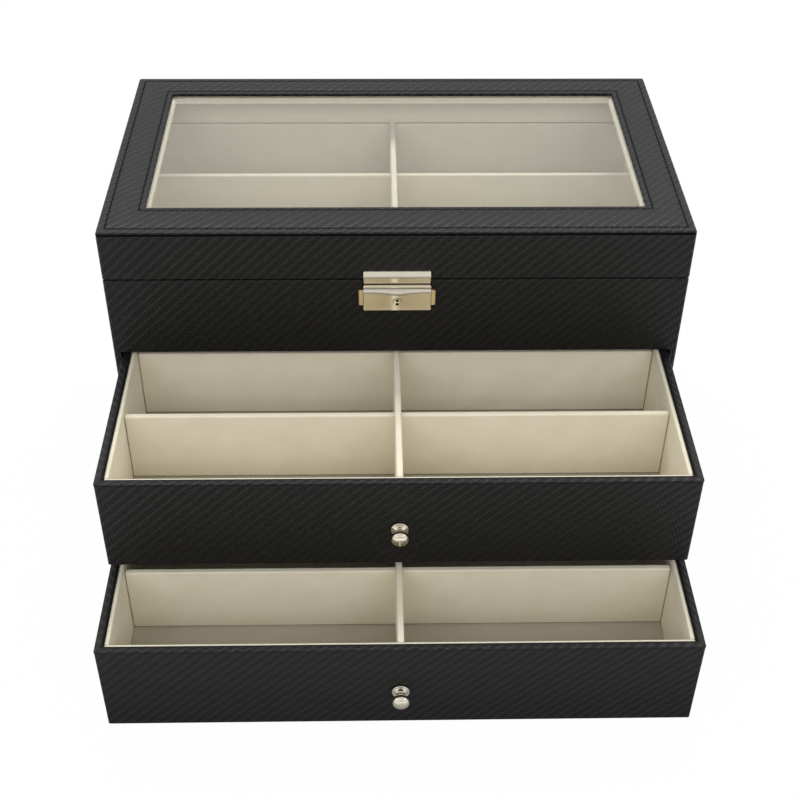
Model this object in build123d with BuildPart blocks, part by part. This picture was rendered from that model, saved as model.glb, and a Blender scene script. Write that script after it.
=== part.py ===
"""Accessory box with a glazed lid, a divided tray and two divided drawers.

Millimetres. x runs across the front, y towards the back and z up. The origin is the middle of the
footprint, on the surface that the box stands on. The drawers stand pulled out, and the lid is closed.
"""

import os
from math import cos, radians, sin

from build123d import *

os.makedirs("parts", exist_ok=True)

# Outside of the case
CASE_WIDTH = 335.0
CASE_DEPTH = 190.0
TRAY_HEIGHT = 51.0
LID_HEIGHT = 32.0
LID_GAP = 0.3
CORNER_RADIUS = 1.4
EDGE_RADIUS = 1.0

# Boards and coverings
CASE_BOARD = 3.2
BASE_BOARD = 4.5
SHELF_BOARD = 4.5
DECK_BOARD = 4.5
FELT = 1.0
FELT_INSET = 2.0
WRAP = 0.8
LINING = 2.5
LINING_DROP = 0.4
DIVIDER = 3.6
LAP_CLEARANCE = 0.15
DIVIDER_END_GAP = 0.3

# Tray under the lid
TRAY_CENTRE_RISE = 2.3
TRAY_CROSS_DROP = 5.0
TRAY_END_GAP = 0.4

# Drawers
DRAWER_HEIGHT = 60.7
DRAWER_BOARD = 3.7
DRAWER_SIDE_GAP = 1.2
DRAWER_REAR_GAP = 1.0
RUNNING_GAP = 0.3
HEAD_GAP = 1.3
BOTTOM_BOARD = 3.2
BOTTOM_RECESS = 2.4
FLOOR_LINING = 3.4
DRAWER_LINING_DROP = 1.5
DRAWER_CROSS_DROP = 5.4
UPPER_HELD = 71.6
LOWER_HELD = 14.2

# Lid window
LID_TOP_BOARD = 3.2
TOP_EDGE_DROP = 2.0
TOP_EDGE_RADIUS = 1.2
SEAM = 0.2
WINDOW_SIDE_BORDER = 24.4
WINDOW_FRONT_BORDER = 27.5
WINDOW_BACK_BORDER = 22.5
WINDOW_EDGE_RADIUS = 0.6
GLASS = 2.4
GLASS_GAP = 0.05
GLASS_DROP = 2.5
GLASS_LAP = 4.0
GLASS_SIDE_GAP = 0.3
INNER_FRAME = 5.0
INNER_FRAME_LEDGE = 2.5

# Hinges on the back
HINGE_X = 100.0
HINGE_LENGTH = 30.0
LEAF_HEIGHT = 13.0
LEAF = 1.0
LEAF_EDGE_GAP = 0.35
KNUCKLE_RADIUS = 2.0
KNUCKLE_GAP = 0.15
KNUCKLE_STANDOFF = 0.2
KNUCKLE_RELIEF = 0.3
PIN_RADIUS = 0.95
PIN_CLEARANCE = 0.05
STOP_LENGTH = 3.6
STOP_THICKNESS = 1.2
STOP_ANGLE = 6.0
HINGE_SCREW_X = 9.0
HINGE_SCREW_Z = 8.5

# Lock on the fascia and hasp on the lid
LATCH_WIDTH = 39.0
LOCK_HEIGHT = 15.7
LOCK_DROP = 0.8
LOCK_DEPTH = 7.5
LOCK_CROWN = 3.0
LOCK_ROUND = 0.6
LOCK_WALL = 1.5
LOCK_FLOOR = 0.9
HASP_HEIGHT = 5.5
HASP_DEPTH = 4.5
HASP_TAPER = 1.0
HASP_CROWN = 3.2
HASP_ROUND = 0.6
PRONG_X = 7.0
PRONG_WIDTH = 2.0
PRONG_DEPTH = 1.6
PRONG_DROP = 4.6
PRONG_CENTRE = 3.0
PRONG_SIDE_GAP = 0.3
PRONG_SLOT_GAP = 0.5

# Release tabs, their springs and the key cylinder
TAB_REACH = 2.7
TAB_TRAVEL = 1.8
TAB_DROP = 4.8
TAB_HEIGHT = 10.4
TAB_GAP = 0.2
TAB_SIDE_GAP = 0.4
TAB_FINGER = 1.4
TAB_BRIDGE = 1.5
TAB_PLATE_X = 9.2
WING_DEPTH = 3.0
TAB_ROUND = 0.8
SPRING_RADIUS = 1.5
SPRING_WIRE = 0.4
SPRING_TURNS = 6
SPRING_POCKET = 2.2
SPRING_SEAT_GAP = 0.3
KEY_DROP = 10.2
KEY_RADIUS = 2.45
KEY_CLEARANCE = 0.05
KEY_PROUD = 0.4
KEY_HOLE_RADIUS = 0.65
KEY_HOLE_SPACING = 2.3
KEY_HOLE_DEPTH = 1.6
KEY_BAR = 0.5
KEY_BAR_DEPTH = 0.7
KEY_BOSS_WALL = 1.0
CAM = 1.0
CAM_GAP = 0.4
CAM_LENGTH = 4.6
CAM_WIDTH = 2.4

# Knobs
ROSETTE_RADIUS = 4.95
ROSETTE_RIM = 0.5
ROSETTE_THICKNESS = 1.2
STEM_RADIUS = 2.1
KNOB_RADIUS = 4.85
KNOB_NECK = 4.4
KNOB_BACK = 6.4
KNOB_RIM = 0.9
KNOB_LENGTH = 10.8
KNOB_HEIGHT = 26.5
KNOB_BORE_DEPTH = 6.0

# Screws: radius of the head, its thickness, radius of the shank
HINGE_SCREW = (1.9, 0.9, 0.9)
LATCH_SCREW = (2.0, 1.2, 1.0)
KNOB_SCREW = (3.0, 2.0, 1.45)
SCREW_CLEARANCE = 0.05
SCREW_TIP_GAP = 0.4
LATCH_SCREW_BITE = 2.6
LOCK_SCREW_X = 14.2
LOCK_BOSS_RADIUS = 1.8
HASP_SCREW_X = 13.0
HASP_SCREW_RISE = 3.2
SLOT_WIDTH = 0.5
SLOT_DEPTH = 0.35

COLUMNS = 2
ROWS = 3

# Places worked out from the sizes
half_width = CASE_WIDTH / 2
front = -CASE_DEPTH / 2
back = CASE_DEPTH / 2
board_half = half_width - WRAP
board_front = front + WRAP
board_back = back - WRAP
bay_half = board_half - CASE_BOARD
inner_front = board_front + CASE_BOARD
inner_back = board_back - CASE_BOARD
lining_half = bay_half - LINING
lining_front = inner_front + LINING
lining_back = inner_back - LINING

base_top = FELT + BASE_BOARD
lower_bottom = base_top + RUNNING_GAP
shelf_bottom = lower_bottom + DRAWER_HEIGHT + HEAD_GAP
shelf_top = shelf_bottom + SHELF_BOARD
upper_bottom = shelf_top + RUNNING_GAP
deck_bottom = upper_bottom + DRAWER_HEIGHT + HEAD_GAP
deck_top = deck_bottom + DECK_BOARD
case_top = deck_bottom + TRAY_HEIGHT
lid_bottom = case_top + LID_GAP
lid_top = lid_bottom + LID_HEIGHT
panel_bottom = lid_top - WRAP - LID_TOP_BOARD
top_edge = lid_top - TOP_EDGE_DROP
glass_top = lid_top - GLASS_DROP
glass_bottom = glass_top - GLASS_GAP - GLASS
ledge = glass_bottom - GLASS_GAP
inner_frame_bottom = panel_bottom - INNER_FRAME

window_half = half_width - WINDOW_SIDE_BORDER
window_front = front + WINDOW_FRONT_BORDER
window_back = back - WINDOW_BACK_BORDER

hinge_y = back + KNUCKLE_STANDOFF + KNUCKLE_RADIUS
hinge_z = case_top + LID_GAP / 2
hinge_places = (-HINGE_X, HINGE_X)
knuckle_half = HINGE_LENGTH / 6 - KNUCKLE_GAP / 2

lock_top = case_top - LOCK_DROP
lock_bottom = lock_top - LOCK_HEIGHT
lock_half = LATCH_WIDTH / 2
lock_face = front - LOCK_DEPTH
pocket_front = lock_face + LOCK_WALL
pocket_half = lock_half - LOCK_WALL
pocket_top = lock_top - LOCK_WALL
pocket_bottom = lock_bottom + LOCK_FLOOR
key_z = case_top - KEY_DROP
key_bore = KEY_RADIUS + KEY_CLEARANCE
key_boss = key_bore + KEY_BOSS_WALL
cam_front = front - CAM_GAP - CAM
prong_y = front - PRONG_CENTRE
prong_tip = case_top - PRONG_DROP
tab_top = case_top - TAB_DROP
tab_bottom = tab_top - TAB_HEIGHT
tab_front = pocket_front + TAB_SIDE_GAP
tab_back = front - TAB_SIDE_GAP
wing_front = tab_back - WING_DEPTH
hasp_screw_z = lid_bottom + HASP_SCREW_RISE


def block(x0, x1, y0, y1, z0, z1, mode=Mode.ADD):
    """Box between two opposite corners."""
    with Locations(((x0 + x1) / 2, (y0 + y1) / 2, (z0 + z1) / 2)):
        Box(x1 - x0, y1 - y0, z1 - z0, mode=mode)


def rod_x(x0, x1, y, z, radius, mode=Mode.ADD):
    """Round bar along x."""
    with Locations(Location(((x0 + x1) / 2, y, z), (0, 90, 0))):
        Cylinder(radius, x1 - x0, mode=mode)


def rod_y(x, y0, y1, z, radius, mode=Mode.ADD):
    """Round bar along y."""
    with Locations(Location((x, (y0 + y1) / 2, z), (90, 0, 0))):
        Cylinder(radius, y1 - y0, mode=mode)


def bore(x, y0, y1, z, screw):
    """Hole along y for the shank of a screw."""
    rod_y(x, y0, y1, z, screw[2] + SCREW_CLEARANCE, mode=Mode.SUBTRACT)


def screw_solid(x, seat, tip, z, screw):
    """Screw along y with its slotted head behind the seat and its shank running forward to the tip."""
    head_radius, head, shank = screw
    rod_y(x, seat, seat + head, z, head_radius)
    rod_y(x, tip, seat, z, shank)
    block(
        x - head_radius, x + head_radius, seat + head - SLOT_DEPTH, seat + head,
        z - SLOT_WIDTH / 2, z + SLOT_WIDTH / 2, mode=Mode.SUBTRACT,
    )


def save(piece, name):
    """Label a finished piece and write it as one file."""
    piece.part.label = name
    export_step(piece.part, f"parts/{name}.step")


def upright_edges(piece):
    """Vertical edges of the block made so far."""
    return piece.edges().filter_by(Axis.Z)


def round_front(part, crown, edge):
    """Round a block's upper front edge by the crown, and its other front edges by the smaller radius."""
    fillet(part.faces().sort_by(Axis.Y)[0].edges().sort_by(Axis.Z)[-1], crown)
    fillet(part.faces().sort_by(Axis.Y)[0].edges().sort_by(Axis.Z)[:-1], edge)


def hinge_screw_places(side):
    """Screw places on the two leaves above (+1) or below (-1) the hinge axis."""
    return [
        (x + dx, hinge_z + side * HINGE_SCREW_Z)
        for x in hinge_places
        for dx in (-HINGE_SCREW_X, HINGE_SCREW_X)
    ]


def save_plain(name, *boxes):
    """Piece or group of pieces that are plain boards."""
    with BuildPart() as boards:
        for box in boxes:
            block(*box)
    save(boards, name)


def mirrored(x0, x1, *rest):
    """A box on the right and its twin on the left."""
    return (x0, x1, *rest), (-x1, -x0, *rest)


def save_dividers(prefix, half, near, far, floor, centre_top, cross_top, end_gap):
    """Centre divider and cross dividers, half lapped where they meet."""
    lap = (floor + cross_top) / 2
    slot = DIVIDER / 2 + LAP_CLEARANCE
    row = (far - near - (ROWS - 1) * DIVIDER) / ROWS
    column = 2 * half / COLUMNS
    crossings = [near + (i + 1) * row + (i + 0.5) * DIVIDER for i in range(ROWS - 1)]
    partings = [-half + (i + 1) * column for i in range(COLUMNS - 1)]
    with BuildPart() as centre:
        for x in partings:
            block(x - DIVIDER / 2, x + DIVIDER / 2, near + end_gap, far - end_gap, floor, centre_top)
            for y in crossings:
                block(x - slot, x + slot, y - slot, y + slot, floor, lap + LAP_CLEARANCE, mode=Mode.SUBTRACT)
    save(centre, f"{prefix}_centre_divider")
    with BuildPart() as cross:
        for y in crossings:
            block(
                DIVIDER_END_GAP - half, half - DIVIDER_END_GAP,
                y - DIVIDER / 2, y + DIVIDER / 2, floor, cross_top,
            )
            for x in partings:
                block(x - slot, x + slot, y - slot, y + slot, lap, cross_top, mode=Mode.SUBTRACT)
    save(cross, f"{prefix}_cross_dividers")


# Case boards
save_plain(
    "base_felt",
    (FELT_INSET - half_width, half_width - FELT_INSET, front + FELT_INSET, back - FELT_INSET, 0, FELT),
)
save_plain("base_board", (-board_half, board_half, board_front, board_back, FELT, base_top))
save_plain("side_boards", *mirrored(bay_half, board_half, board_front, board_back, base_top, case_top - WRAP))
save_plain("drawer_shelf", (-bay_half, bay_half, board_front, inner_back, shelf_bottom, shelf_top))
save_plain("tray_deck", (-bay_half, bay_half, inner_front, inner_back, deck_bottom, deck_top))

with BuildPart() as back_board:
    block(-bay_half, bay_half, inner_back, board_back, base_top, case_top - WRAP)
    for x, z in hinge_screw_places(-1):
        bore(x, inner_back + SCREW_TIP_GAP, board_back, z, HINGE_SCREW)
save(back_board, "back_board")

with BuildPart() as fascia_board:
    block(-bay_half, bay_half, board_front, inner_front, deck_bottom, case_top - WRAP)
    for x in (-LOCK_SCREW_X, LOCK_SCREW_X):
        bore(x, board_front, inner_front, key_z, LATCH_SCREW)
        rod_y(
            x, inner_front - LATCH_SCREW[1], inner_front, key_z,
            LATCH_SCREW[0] + SCREW_CLEARANCE, mode=Mode.SUBTRACT,
        )
save(fascia_board, "fascia_board")

# Leatherette over the outside, the top rim and the edges round the drawer bays
with BuildPart() as case_wrap:
    block(-half_width, half_width, front, back, FELT, case_top)
    fillet(upright_edges(case_wrap), CORNER_RADIUS)
    fillet(case_wrap.faces().sort_by(Axis.Z)[-1].edges(), EDGE_RADIUS)
    block(-board_half, board_half, board_front, board_back, FELT, case_top - WRAP, mode=Mode.SUBTRACT)
    block(-bay_half, bay_half, inner_front, inner_back, case_top - WRAP, case_top, mode=Mode.SUBTRACT)
    block(-bay_half, bay_half, front, board_front, base_top, shelf_bottom, mode=Mode.SUBTRACT)
    block(-bay_half, bay_half, front, board_front, shelf_top, deck_bottom, mode=Mode.SUBTRACT)
    for x, z in hinge_screw_places(-1):
        bore(x, board_back, back, z, HINGE_SCREW)
    for x in (-LOCK_SCREW_X, LOCK_SCREW_X):
        bore(x, front, board_front, key_z, LATCH_SCREW)
save(case_wrap, "case_wrap")

# Tray linings and dividers
tray_lining_top = case_top - LINING_DROP
tray_floor = deck_top + LINING
save_plain("tray_floor_lining", (-lining_half, lining_half, lining_front, lining_back, deck_top, tray_floor))
save_plain(
    "tray_end_linings",
    *mirrored(lining_half, bay_half, lining_front, lining_back, deck_top, tray_lining_top),
)
save_plain(
    "tray_side_linings",
    (-bay_half, bay_half, inner_front, lining_front, deck_top, tray_lining_top),
    (-bay_half, bay_half, lining_back, inner_back, deck_top, tray_lining_top),
)
save_dividers(
    "tray", lining_half, lining_front, lining_back, tray_floor,
    case_top + TRAY_CENTRE_RISE, case_top - TRAY_CROSS_DROP, TRAY_END_GAP,
)

# Lid rim
save_plain(
    "lid_end_rails",
    *mirrored(bay_half, board_half, board_front, board_back, lid_bottom + WRAP, panel_bottom),
)

with BuildPart() as lid_side_rails:
    block(-bay_half, bay_half, board_front, inner_front, lid_bottom + WRAP, panel_bottom)
    block(-bay_half, bay_half, inner_back, board_back, lid_bottom + WRAP, panel_bottom)
    for x, z in hinge_screw_places(1):
        bore(x, inner_back + SCREW_TIP_GAP, board_back, z, HINGE_SCREW)
    for x in (-HASP_SCREW_X, HASP_SCREW_X):
        bore(x, board_front, inner_front, hasp_screw_z, LATCH_SCREW)
        rod_y(
            x, inner_front - LATCH_SCREW[1], inner_front, hasp_screw_z,
            LATCH_SCREW[0] + SCREW_CLEARANCE, mode=Mode.SUBTRACT,
        )
save(lid_side_rails, "lid_side_rails")

with BuildPart() as lid_rim_wrap:
    block(-half_width, half_width, front, back, lid_bottom, top_edge - SEAM)
    fillet(upright_edges(lid_rim_wrap), CORNER_RADIUS)
    fillet(lid_rim_wrap.faces().sort_by(Axis.Z)[0].edges(), EDGE_RADIUS)
    rail_bottom = lid_bottom + WRAP
    block(-board_half, board_half, board_front, board_back, rail_bottom, top_edge, mode=Mode.SUBTRACT)
    block(-bay_half, bay_half, inner_front, inner_back, lid_bottom, rail_bottom, mode=Mode.SUBTRACT)
    for x, z in hinge_screw_places(1):
        bore(x, board_back, back, z, HINGE_SCREW)
    for x in (-HASP_SCREW_X, HASP_SCREW_X):
        bore(x, front, board_front, hasp_screw_z, LATCH_SCREW)
save(lid_rim_wrap, "lid_rim_wrap")

save_plain(
    "lid_end_linings",
    *mirrored(lining_half, bay_half, lining_front, lining_back, lid_bottom, inner_frame_bottom),
)
save_plain(
    "lid_side_linings",
    (-bay_half, bay_half, inner_front, lining_front, lid_bottom, inner_frame_bottom),
    (-bay_half, bay_half, lining_back, inner_back, lid_bottom, inner_frame_bottom),
)


def window(grow, z0, z1, mode=Mode.SUBTRACT):
    """Box over the lid's window, grown outwards on all four sides."""
    block(
        -window_half - grow, window_half + grow, window_front - grow, window_back + grow, z0, z1, mode=mode
    )


# Lid top with its window
with BuildPart() as lid_top_frame:
    block(-board_half, board_half, board_front, board_back, panel_bottom, lid_top - WRAP)
    window(WRAP, panel_bottom, lid_top - WRAP)
    window(GLASS_LAP + GLASS_SIDE_GAP, panel_bottom, glass_top)
save(lid_top_frame, "lid_top_frame")

with BuildPart() as lid_top_cover:
    block(-half_width, half_width, front, back, top_edge, lid_top)
    fillet(upright_edges(lid_top_cover), CORNER_RADIUS)
    fillet(lid_top_cover.faces().sort_by(Axis.Z)[-1].edges(), TOP_EDGE_RADIUS)
    block(-board_half, board_half, board_front, board_back, top_edge, lid_top - WRAP, mode=Mode.SUBTRACT)
    window(WRAP, glass_top, lid_top - WRAP, mode=Mode.ADD)
    window(0, glass_top, lid_top)
    fillet(lid_top_cover.faces().sort_by(Axis.Z)[-1].inner_wires()[0].edges(), WINDOW_EDGE_RADIUS)
save(lid_top_cover, "lid_top_cover")

with BuildPart() as lid_glass:
    window(GLASS_LAP, glass_bottom, glass_top - GLASS_GAP, mode=Mode.ADD)
save(lid_glass, "lid_glass")

with BuildPart() as lid_inner_frame:
    block(-bay_half, bay_half, inner_front, inner_back, inner_frame_bottom, panel_bottom)
    window(-INNER_FRAME_LEDGE, inner_frame_bottom, panel_bottom)
    window(GLASS_LAP + GLASS_SIDE_GAP, ledge, panel_bottom)
save(lid_inner_frame, "lid_inner_frame")


# Hinges
def save_leaves(name, side, knuckles, relieved):
    """Two leaves above (+1) or below (-1) the axis, with their knuckles at the given thirds of the length."""
    third = HINGE_LENGTH / 3
    near, far = sorted((hinge_z + side * LEAF_EDGE_GAP, hinge_z + side * LEAF_HEIGHT))
    with BuildPart() as leaves:
        for x in hinge_places:
            block(x - HINGE_LENGTH / 2, x + HINGE_LENGTH / 2, back, back + LEAF, near, far)
            for k in relieved:
                rod_x(
                    x + k * third - third / 2 - KNUCKLE_GAP, x + k * third + third / 2 + KNUCKLE_GAP,
                    hinge_y, hinge_z, KNUCKLE_RADIUS + KNUCKLE_RELIEF, mode=Mode.SUBTRACT,
                )
        for x in hinge_places:
            for k in knuckles:
                centre = x + k * third
                rod_x(centre - knuckle_half, centre + knuckle_half, hinge_y, hinge_z, KNUCKLE_RADIUS)
                if side > 0:
                    stop_y = hinge_y + cos(radians(STOP_ANGLE)) * STOP_LENGTH / 2
                    stop_z = hinge_z + sin(radians(STOP_ANGLE)) * STOP_LENGTH / 2
                    with Locations(Location((centre, stop_y, stop_z), (STOP_ANGLE, 0, 0))):
                        Box(2 * knuckle_half, STOP_LENGTH, STOP_THICKNESS)
            rod_x(
                x - HINGE_LENGTH / 2, x + HINGE_LENGTH / 2, hinge_y, hinge_z,
                PIN_RADIUS + PIN_CLEARANCE, mode=Mode.SUBTRACT,
            )
        for x, z in hinge_screw_places(side):
            bore(x, back, back + LEAF, z, HINGE_SCREW)
    save(leaves, name)


save_leaves("hinge_case_leaves", -1, knuckles=(-1, 1), relieved=(0,))
save_leaves("hinge_lid_leaves", 1, knuckles=(0,), relieved=(-1, 1))

with BuildPart() as hinge_pins:
    for x in hinge_places:
        rod_x(x - HINGE_LENGTH / 2, x + HINGE_LENGTH / 2, hinge_y, hinge_z, PIN_RADIUS)
save(hinge_pins, "hinge_pins")

for name, side in (("hinge_case_screws", -1), ("hinge_lid_screws", 1)):
    with BuildPart() as hinge_screws:
        for x, z in hinge_screw_places(side):
            screw_solid(x, back + LEAF, inner_back + 2 * SCREW_TIP_GAP, z, HINGE_SCREW)
    save(hinge_screws, name)

# Lock body: a shell that is open at the back, with a boss for the key and two screw posts
with BuildPart() as lock_body:
    block(-lock_half, lock_half, lock_face, front, lock_bottom, lock_top)
    round_front(lock_body, LOCK_CROWN, LOCK_ROUND)
    block(-pocket_half, pocket_half, pocket_front, front, pocket_bottom, pocket_top, mode=Mode.SUBTRACT)
    rod_y(0, pocket_front, cam_front - TAB_GAP, key_z, key_boss)
    for side in (-1, 1):
        rod_y(side * LOCK_SCREW_X, pocket_front, front, key_z, LOCK_BOSS_RADIUS)
    rod_y(0, lock_face, front, key_z, key_bore, mode=Mode.SUBTRACT)
    for side in (-1, 1):
        bore(side * LOCK_SCREW_X, front - LATCH_SCREW_BITE, front, key_z, LATCH_SCREW)
        near, far = sorted((side * pocket_half, side * lock_half))
        block(
            near, far, wing_front - TAB_GAP, tab_back + TAB_GAP, tab_bottom - TAB_GAP, tab_top + TAB_GAP,
            mode=Mode.SUBTRACT,
        )
        reach = PRONG_WIDTH / 2 + PRONG_SIDE_GAP
        depth = PRONG_DEPTH / 2 + PRONG_SLOT_GAP
        block(
            side * PRONG_X - reach, side * PRONG_X + reach, prong_y - depth, prong_y + depth,
            pocket_top, lock_top, mode=Mode.SUBTRACT,
        )
save(lock_body, "lock_body")

with BuildPart() as lock_screws:
    for side in (-1, 1):
        screw_solid(
            side * LOCK_SCREW_X, inner_front - LATCH_SCREW[1],
            front - LATCH_SCREW_BITE + SCREW_TIP_GAP, key_z, LATCH_SCREW,
        )
save(lock_screws, "lock_screws")

# Hasp with two prongs that drop into the lock
with BuildPart() as hasp:
    with BuildSketch(Plane.XZ.offset(-front)):
        with BuildLine():
            Polyline(
                (-lock_half, lid_bottom + HASP_HEIGHT), (lock_half, lid_bottom + HASP_HEIGHT),
                (lock_half - HASP_TAPER, lid_bottom), (HASP_TAPER - lock_half, lid_bottom), close=True,
            )
        make_face()
    extrude(amount=HASP_DEPTH)
    round_front(hasp, HASP_CROWN, HASP_ROUND)
    for side in (-1, 1):
        block(
            side * PRONG_X - PRONG_WIDTH / 2, side * PRONG_X + PRONG_WIDTH / 2,
            prong_y - PRONG_DEPTH / 2, prong_y + PRONG_DEPTH / 2, prong_tip, lid_bottom + HASP_HEIGHT / 2,
        )
        bore(side * HASP_SCREW_X, front - LATCH_SCREW_BITE, front, hasp_screw_z, LATCH_SCREW)
save(hasp, "hasp")

with BuildPart() as hasp_screws:
    for side in (-1, 1):
        screw_solid(
            side * HASP_SCREW_X, inner_front - LATCH_SCREW[1],
            front - LATCH_SCREW_BITE + SCREW_TIP_GAP, hasp_screw_z, LATCH_SCREW,
        )
save(hasp_screws, "hasp_screws")

# Release tabs: a wing outside the lock, a slotted plate round the screw post and a finger beside the prong
finger_out = PRONG_X - PRONG_WIDTH / 2 - TAB_GAP
finger_in = finger_out - TAB_FINGER
bridge_top = prong_tip - PRONG_SIDE_GAP
spring_x = key_boss + SPRING_SEAT_GAP
spring_end = TAB_PLATE_X + SPRING_POCKET
spring_y = (pocket_front + cam_front) / 2


def tab_box(side, x0, x1, z0, z1, mode=Mode.ADD):
    """Box through the tab's thickness, on the right (+1) or the left (-1)."""
    near, far = sorted((side * x0, side * x1))
    block(near, far, tab_front, tab_back, z0, z1, mode=mode)


for name, side in (("left_release_tab", -1), ("right_release_tab", 1)):
    post = LOCK_BOSS_RADIUS + TAB_GAP
    near, far = sorted((side * TAB_PLATE_X, side * spring_end))
    wing = sorted((side * TAB_PLATE_X, side * (lock_half + TAB_REACH)))
    with BuildPart() as release_tab:
        block(*wing, wing_front, tab_back, tab_bottom, tab_top)
        wing_tip = release_tab.faces().sort_by(Axis.X)[-1 if side > 0 else 0]
        fillet(wing_tip.edges(), TAB_ROUND)
        tab_box(side, TAB_PLATE_X, pocket_half - TAB_GAP, tab_bottom, tab_top)
        tab_box(side, TAB_PLATE_X + TAB_TRAVEL, pocket_half - TAB_GAP, tab_bottom, pocket_top - TAB_GAP)
        tab_box(side, finger_in, TAB_PLATE_X + TAB_TRAVEL, bridge_top - TAB_BRIDGE, bridge_top)
        tab_box(side, finger_in, finger_out, bridge_top, pocket_top - TAB_GAP)
        tab_box(
            side, LOCK_SCREW_X - post, LOCK_SCREW_X + post + TAB_TRAVEL, key_z - post, key_z + post,
            mode=Mode.SUBTRACT,
        )
        rod_x(near, far, spring_y, key_z, SPRING_RADIUS + TAB_GAP, mode=Mode.SUBTRACT)
    save(release_tab, name)

for name, side in (("left_release_spring", -1), ("right_release_spring", 1)):
    coil_height = spring_end - spring_x - SPRING_WIRE
    with BuildPart() as release_spring:
        with BuildLine() as coil:
            Helix(
                coil_height / SPRING_TURNS, coil_height, SPRING_RADIUS - SPRING_WIRE / 2,
                center=(side * (spring_x + SPRING_WIRE / 2), spring_y, key_z), direction=(side, 0, 0),
            )
        with BuildSketch(Plane(origin=coil.line @ 0, z_dir=coil.line % 0)):
            Circle(SPRING_WIRE / 2)
        sweep(path=coil.line, is_frenet=True)
    save(release_spring, name)

# Key cylinder with its cam hanging down behind it
with BuildPart() as key_cylinder:
    rod_y(0, lock_face - KEY_PROUD, cam_front, key_z, KEY_RADIUS)
    block(-CAM_WIDTH / 2, CAM_WIDTH / 2, cam_front, cam_front + CAM, key_z - CAM_LENGTH, key_z)
    rod_y(0, cam_front, cam_front + CAM, key_z, KEY_RADIUS)
    key_face = lock_face - KEY_PROUD
    for dz in (-KEY_HOLE_SPACING / 2, KEY_HOLE_SPACING / 2):
        rod_y(0, key_face, key_face + KEY_HOLE_DEPTH, key_z + dz, KEY_HOLE_RADIUS, mode=Mode.SUBTRACT)
    block(
        -KEY_BAR / 2, KEY_BAR / 2, key_face, key_face + KEY_BAR_DEPTH,
        key_z - KEY_HOLE_SPACING / 2, key_z + KEY_HOLE_SPACING / 2, mode=Mode.SUBTRACT,
    )
save(key_cylinder, "key_cylinder")


# Drawers
def save_drawer(prefix, bottom, held):
    """All the pieces of one drawer, pulled out so that the given length of it is still in its bay."""
    half = bay_half - DRAWER_SIDE_GAP
    far = front + held
    near = far - (inner_back - front - DRAWER_REAR_GAP)
    top = bottom + DRAWER_HEIGHT
    wall = WRAP + DRAWER_BOARD
    bottom_top = bottom + BOTTOM_RECESS + BOTTOM_BOARD
    floor = bottom_top + FLOOR_LINING
    lining_top = top - DRAWER_LINING_DROP
    room = half - wall - LINING
    room_near = near + wall + LINING
    room_far = far - wall - LINING
    knob_z = bottom + KNOB_HEIGHT

    with BuildPart() as front_board:
        block(WRAP - half, half - WRAP, near + WRAP, near + wall, bottom, top - WRAP)
        bore(0, near + WRAP, near + wall, knob_z, KNOB_SCREW)
    save(front_board, f"{prefix}_front_board")
    save_plain(f"{prefix}_back_board", (WRAP - half, half - WRAP, far - wall, far - WRAP, bottom, top - WRAP))
    save_plain(
        f"{prefix}_side_boards",
        *mirrored(half - wall, half - WRAP, near + wall, far - wall, bottom, top - WRAP),
    )
    save_plain(
        f"{prefix}_bottom_board",
        (wall - half, half - wall, near + wall, far - wall, bottom + BOTTOM_RECESS, bottom_top),
    )

    with BuildPart() as drawer_wrap:
        block(-half, half, near, far, bottom, top)
        fillet(upright_edges(drawer_wrap), CORNER_RADIUS)
        fillet(drawer_wrap.faces().sort_by(Axis.Z)[-1].edges(), EDGE_RADIUS)
        block(WRAP - half, half - WRAP, near + WRAP, far - WRAP, bottom, top - WRAP, mode=Mode.SUBTRACT)
        block(wall - half, half - wall, near + wall, far - wall, top - WRAP, top, mode=Mode.SUBTRACT)
        bore(0, near, near + WRAP, knob_z, KNOB_SCREW)
    save(drawer_wrap, f"{prefix}_wrap")

    save_plain(f"{prefix}_floor_lining", (-room, room, room_near, room_far, bottom_top, floor))
    save_plain(
        f"{prefix}_end_linings", *mirrored(room, half - wall, room_near, room_far, bottom_top, lining_top)
    )
    with BuildPart() as side_linings:
        block(wall - half, half - wall, near + wall, room_near, bottom_top, lining_top)
        block(wall - half, half - wall, room_far, far - wall, bottom_top, lining_top)
        rod_y(0, near + wall, room_near, knob_z, KNOB_SCREW[0] + SCREW_CLEARANCE, mode=Mode.SUBTRACT)
    save(side_linings, f"{prefix}_side_linings")
    save_dividers(
        prefix, room, room_near, room_far, floor, lining_top, top - DRAWER_CROSS_DROP, DIVIDER_END_GAP
    )

    rim_front = KNOB_BACK + KNOB_RIM
    dome = KNOB_LENGTH - rim_front
    dome_radius = (KNOB_RADIUS**2 + dome**2) / (2 * dome)
    with BuildPart() as knob:
        with BuildSketch(Plane(origin=(0, near, knob_z), x_dir=(1, 0, 0), z_dir=(0, 0, 1))):
            with BuildLine():
                Polyline(
                    (0, 0), (ROSETTE_RADIUS, 0), (ROSETTE_RADIUS, -ROSETTE_RIM),
                    (STEM_RADIUS, -ROSETTE_THICKNESS), (STEM_RADIUS, -KNOB_NECK),
                    (KNOB_RADIUS, -KNOB_BACK), (KNOB_RADIUS, -rim_front),
                )
                RadiusArc((KNOB_RADIUS, -rim_front), (0, -KNOB_LENGTH), dome_radius)
                Line((0, -KNOB_LENGTH), (0, 0))
            make_face()
        revolve(axis=Axis((0, near, knob_z), (0, 1, 0)))
        bore(0, near - KNOB_BORE_DEPTH, near, knob_z, KNOB_SCREW)
    save(knob, f"{prefix}_knob")
    with BuildPart() as knob_screw:
        screw_solid(0, near + wall, near - KNOB_BORE_DEPTH + SCREW_TIP_GAP, knob_z, KNOB_SCREW)
    save(knob_screw, f"{prefix}_knob_screw")


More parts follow.
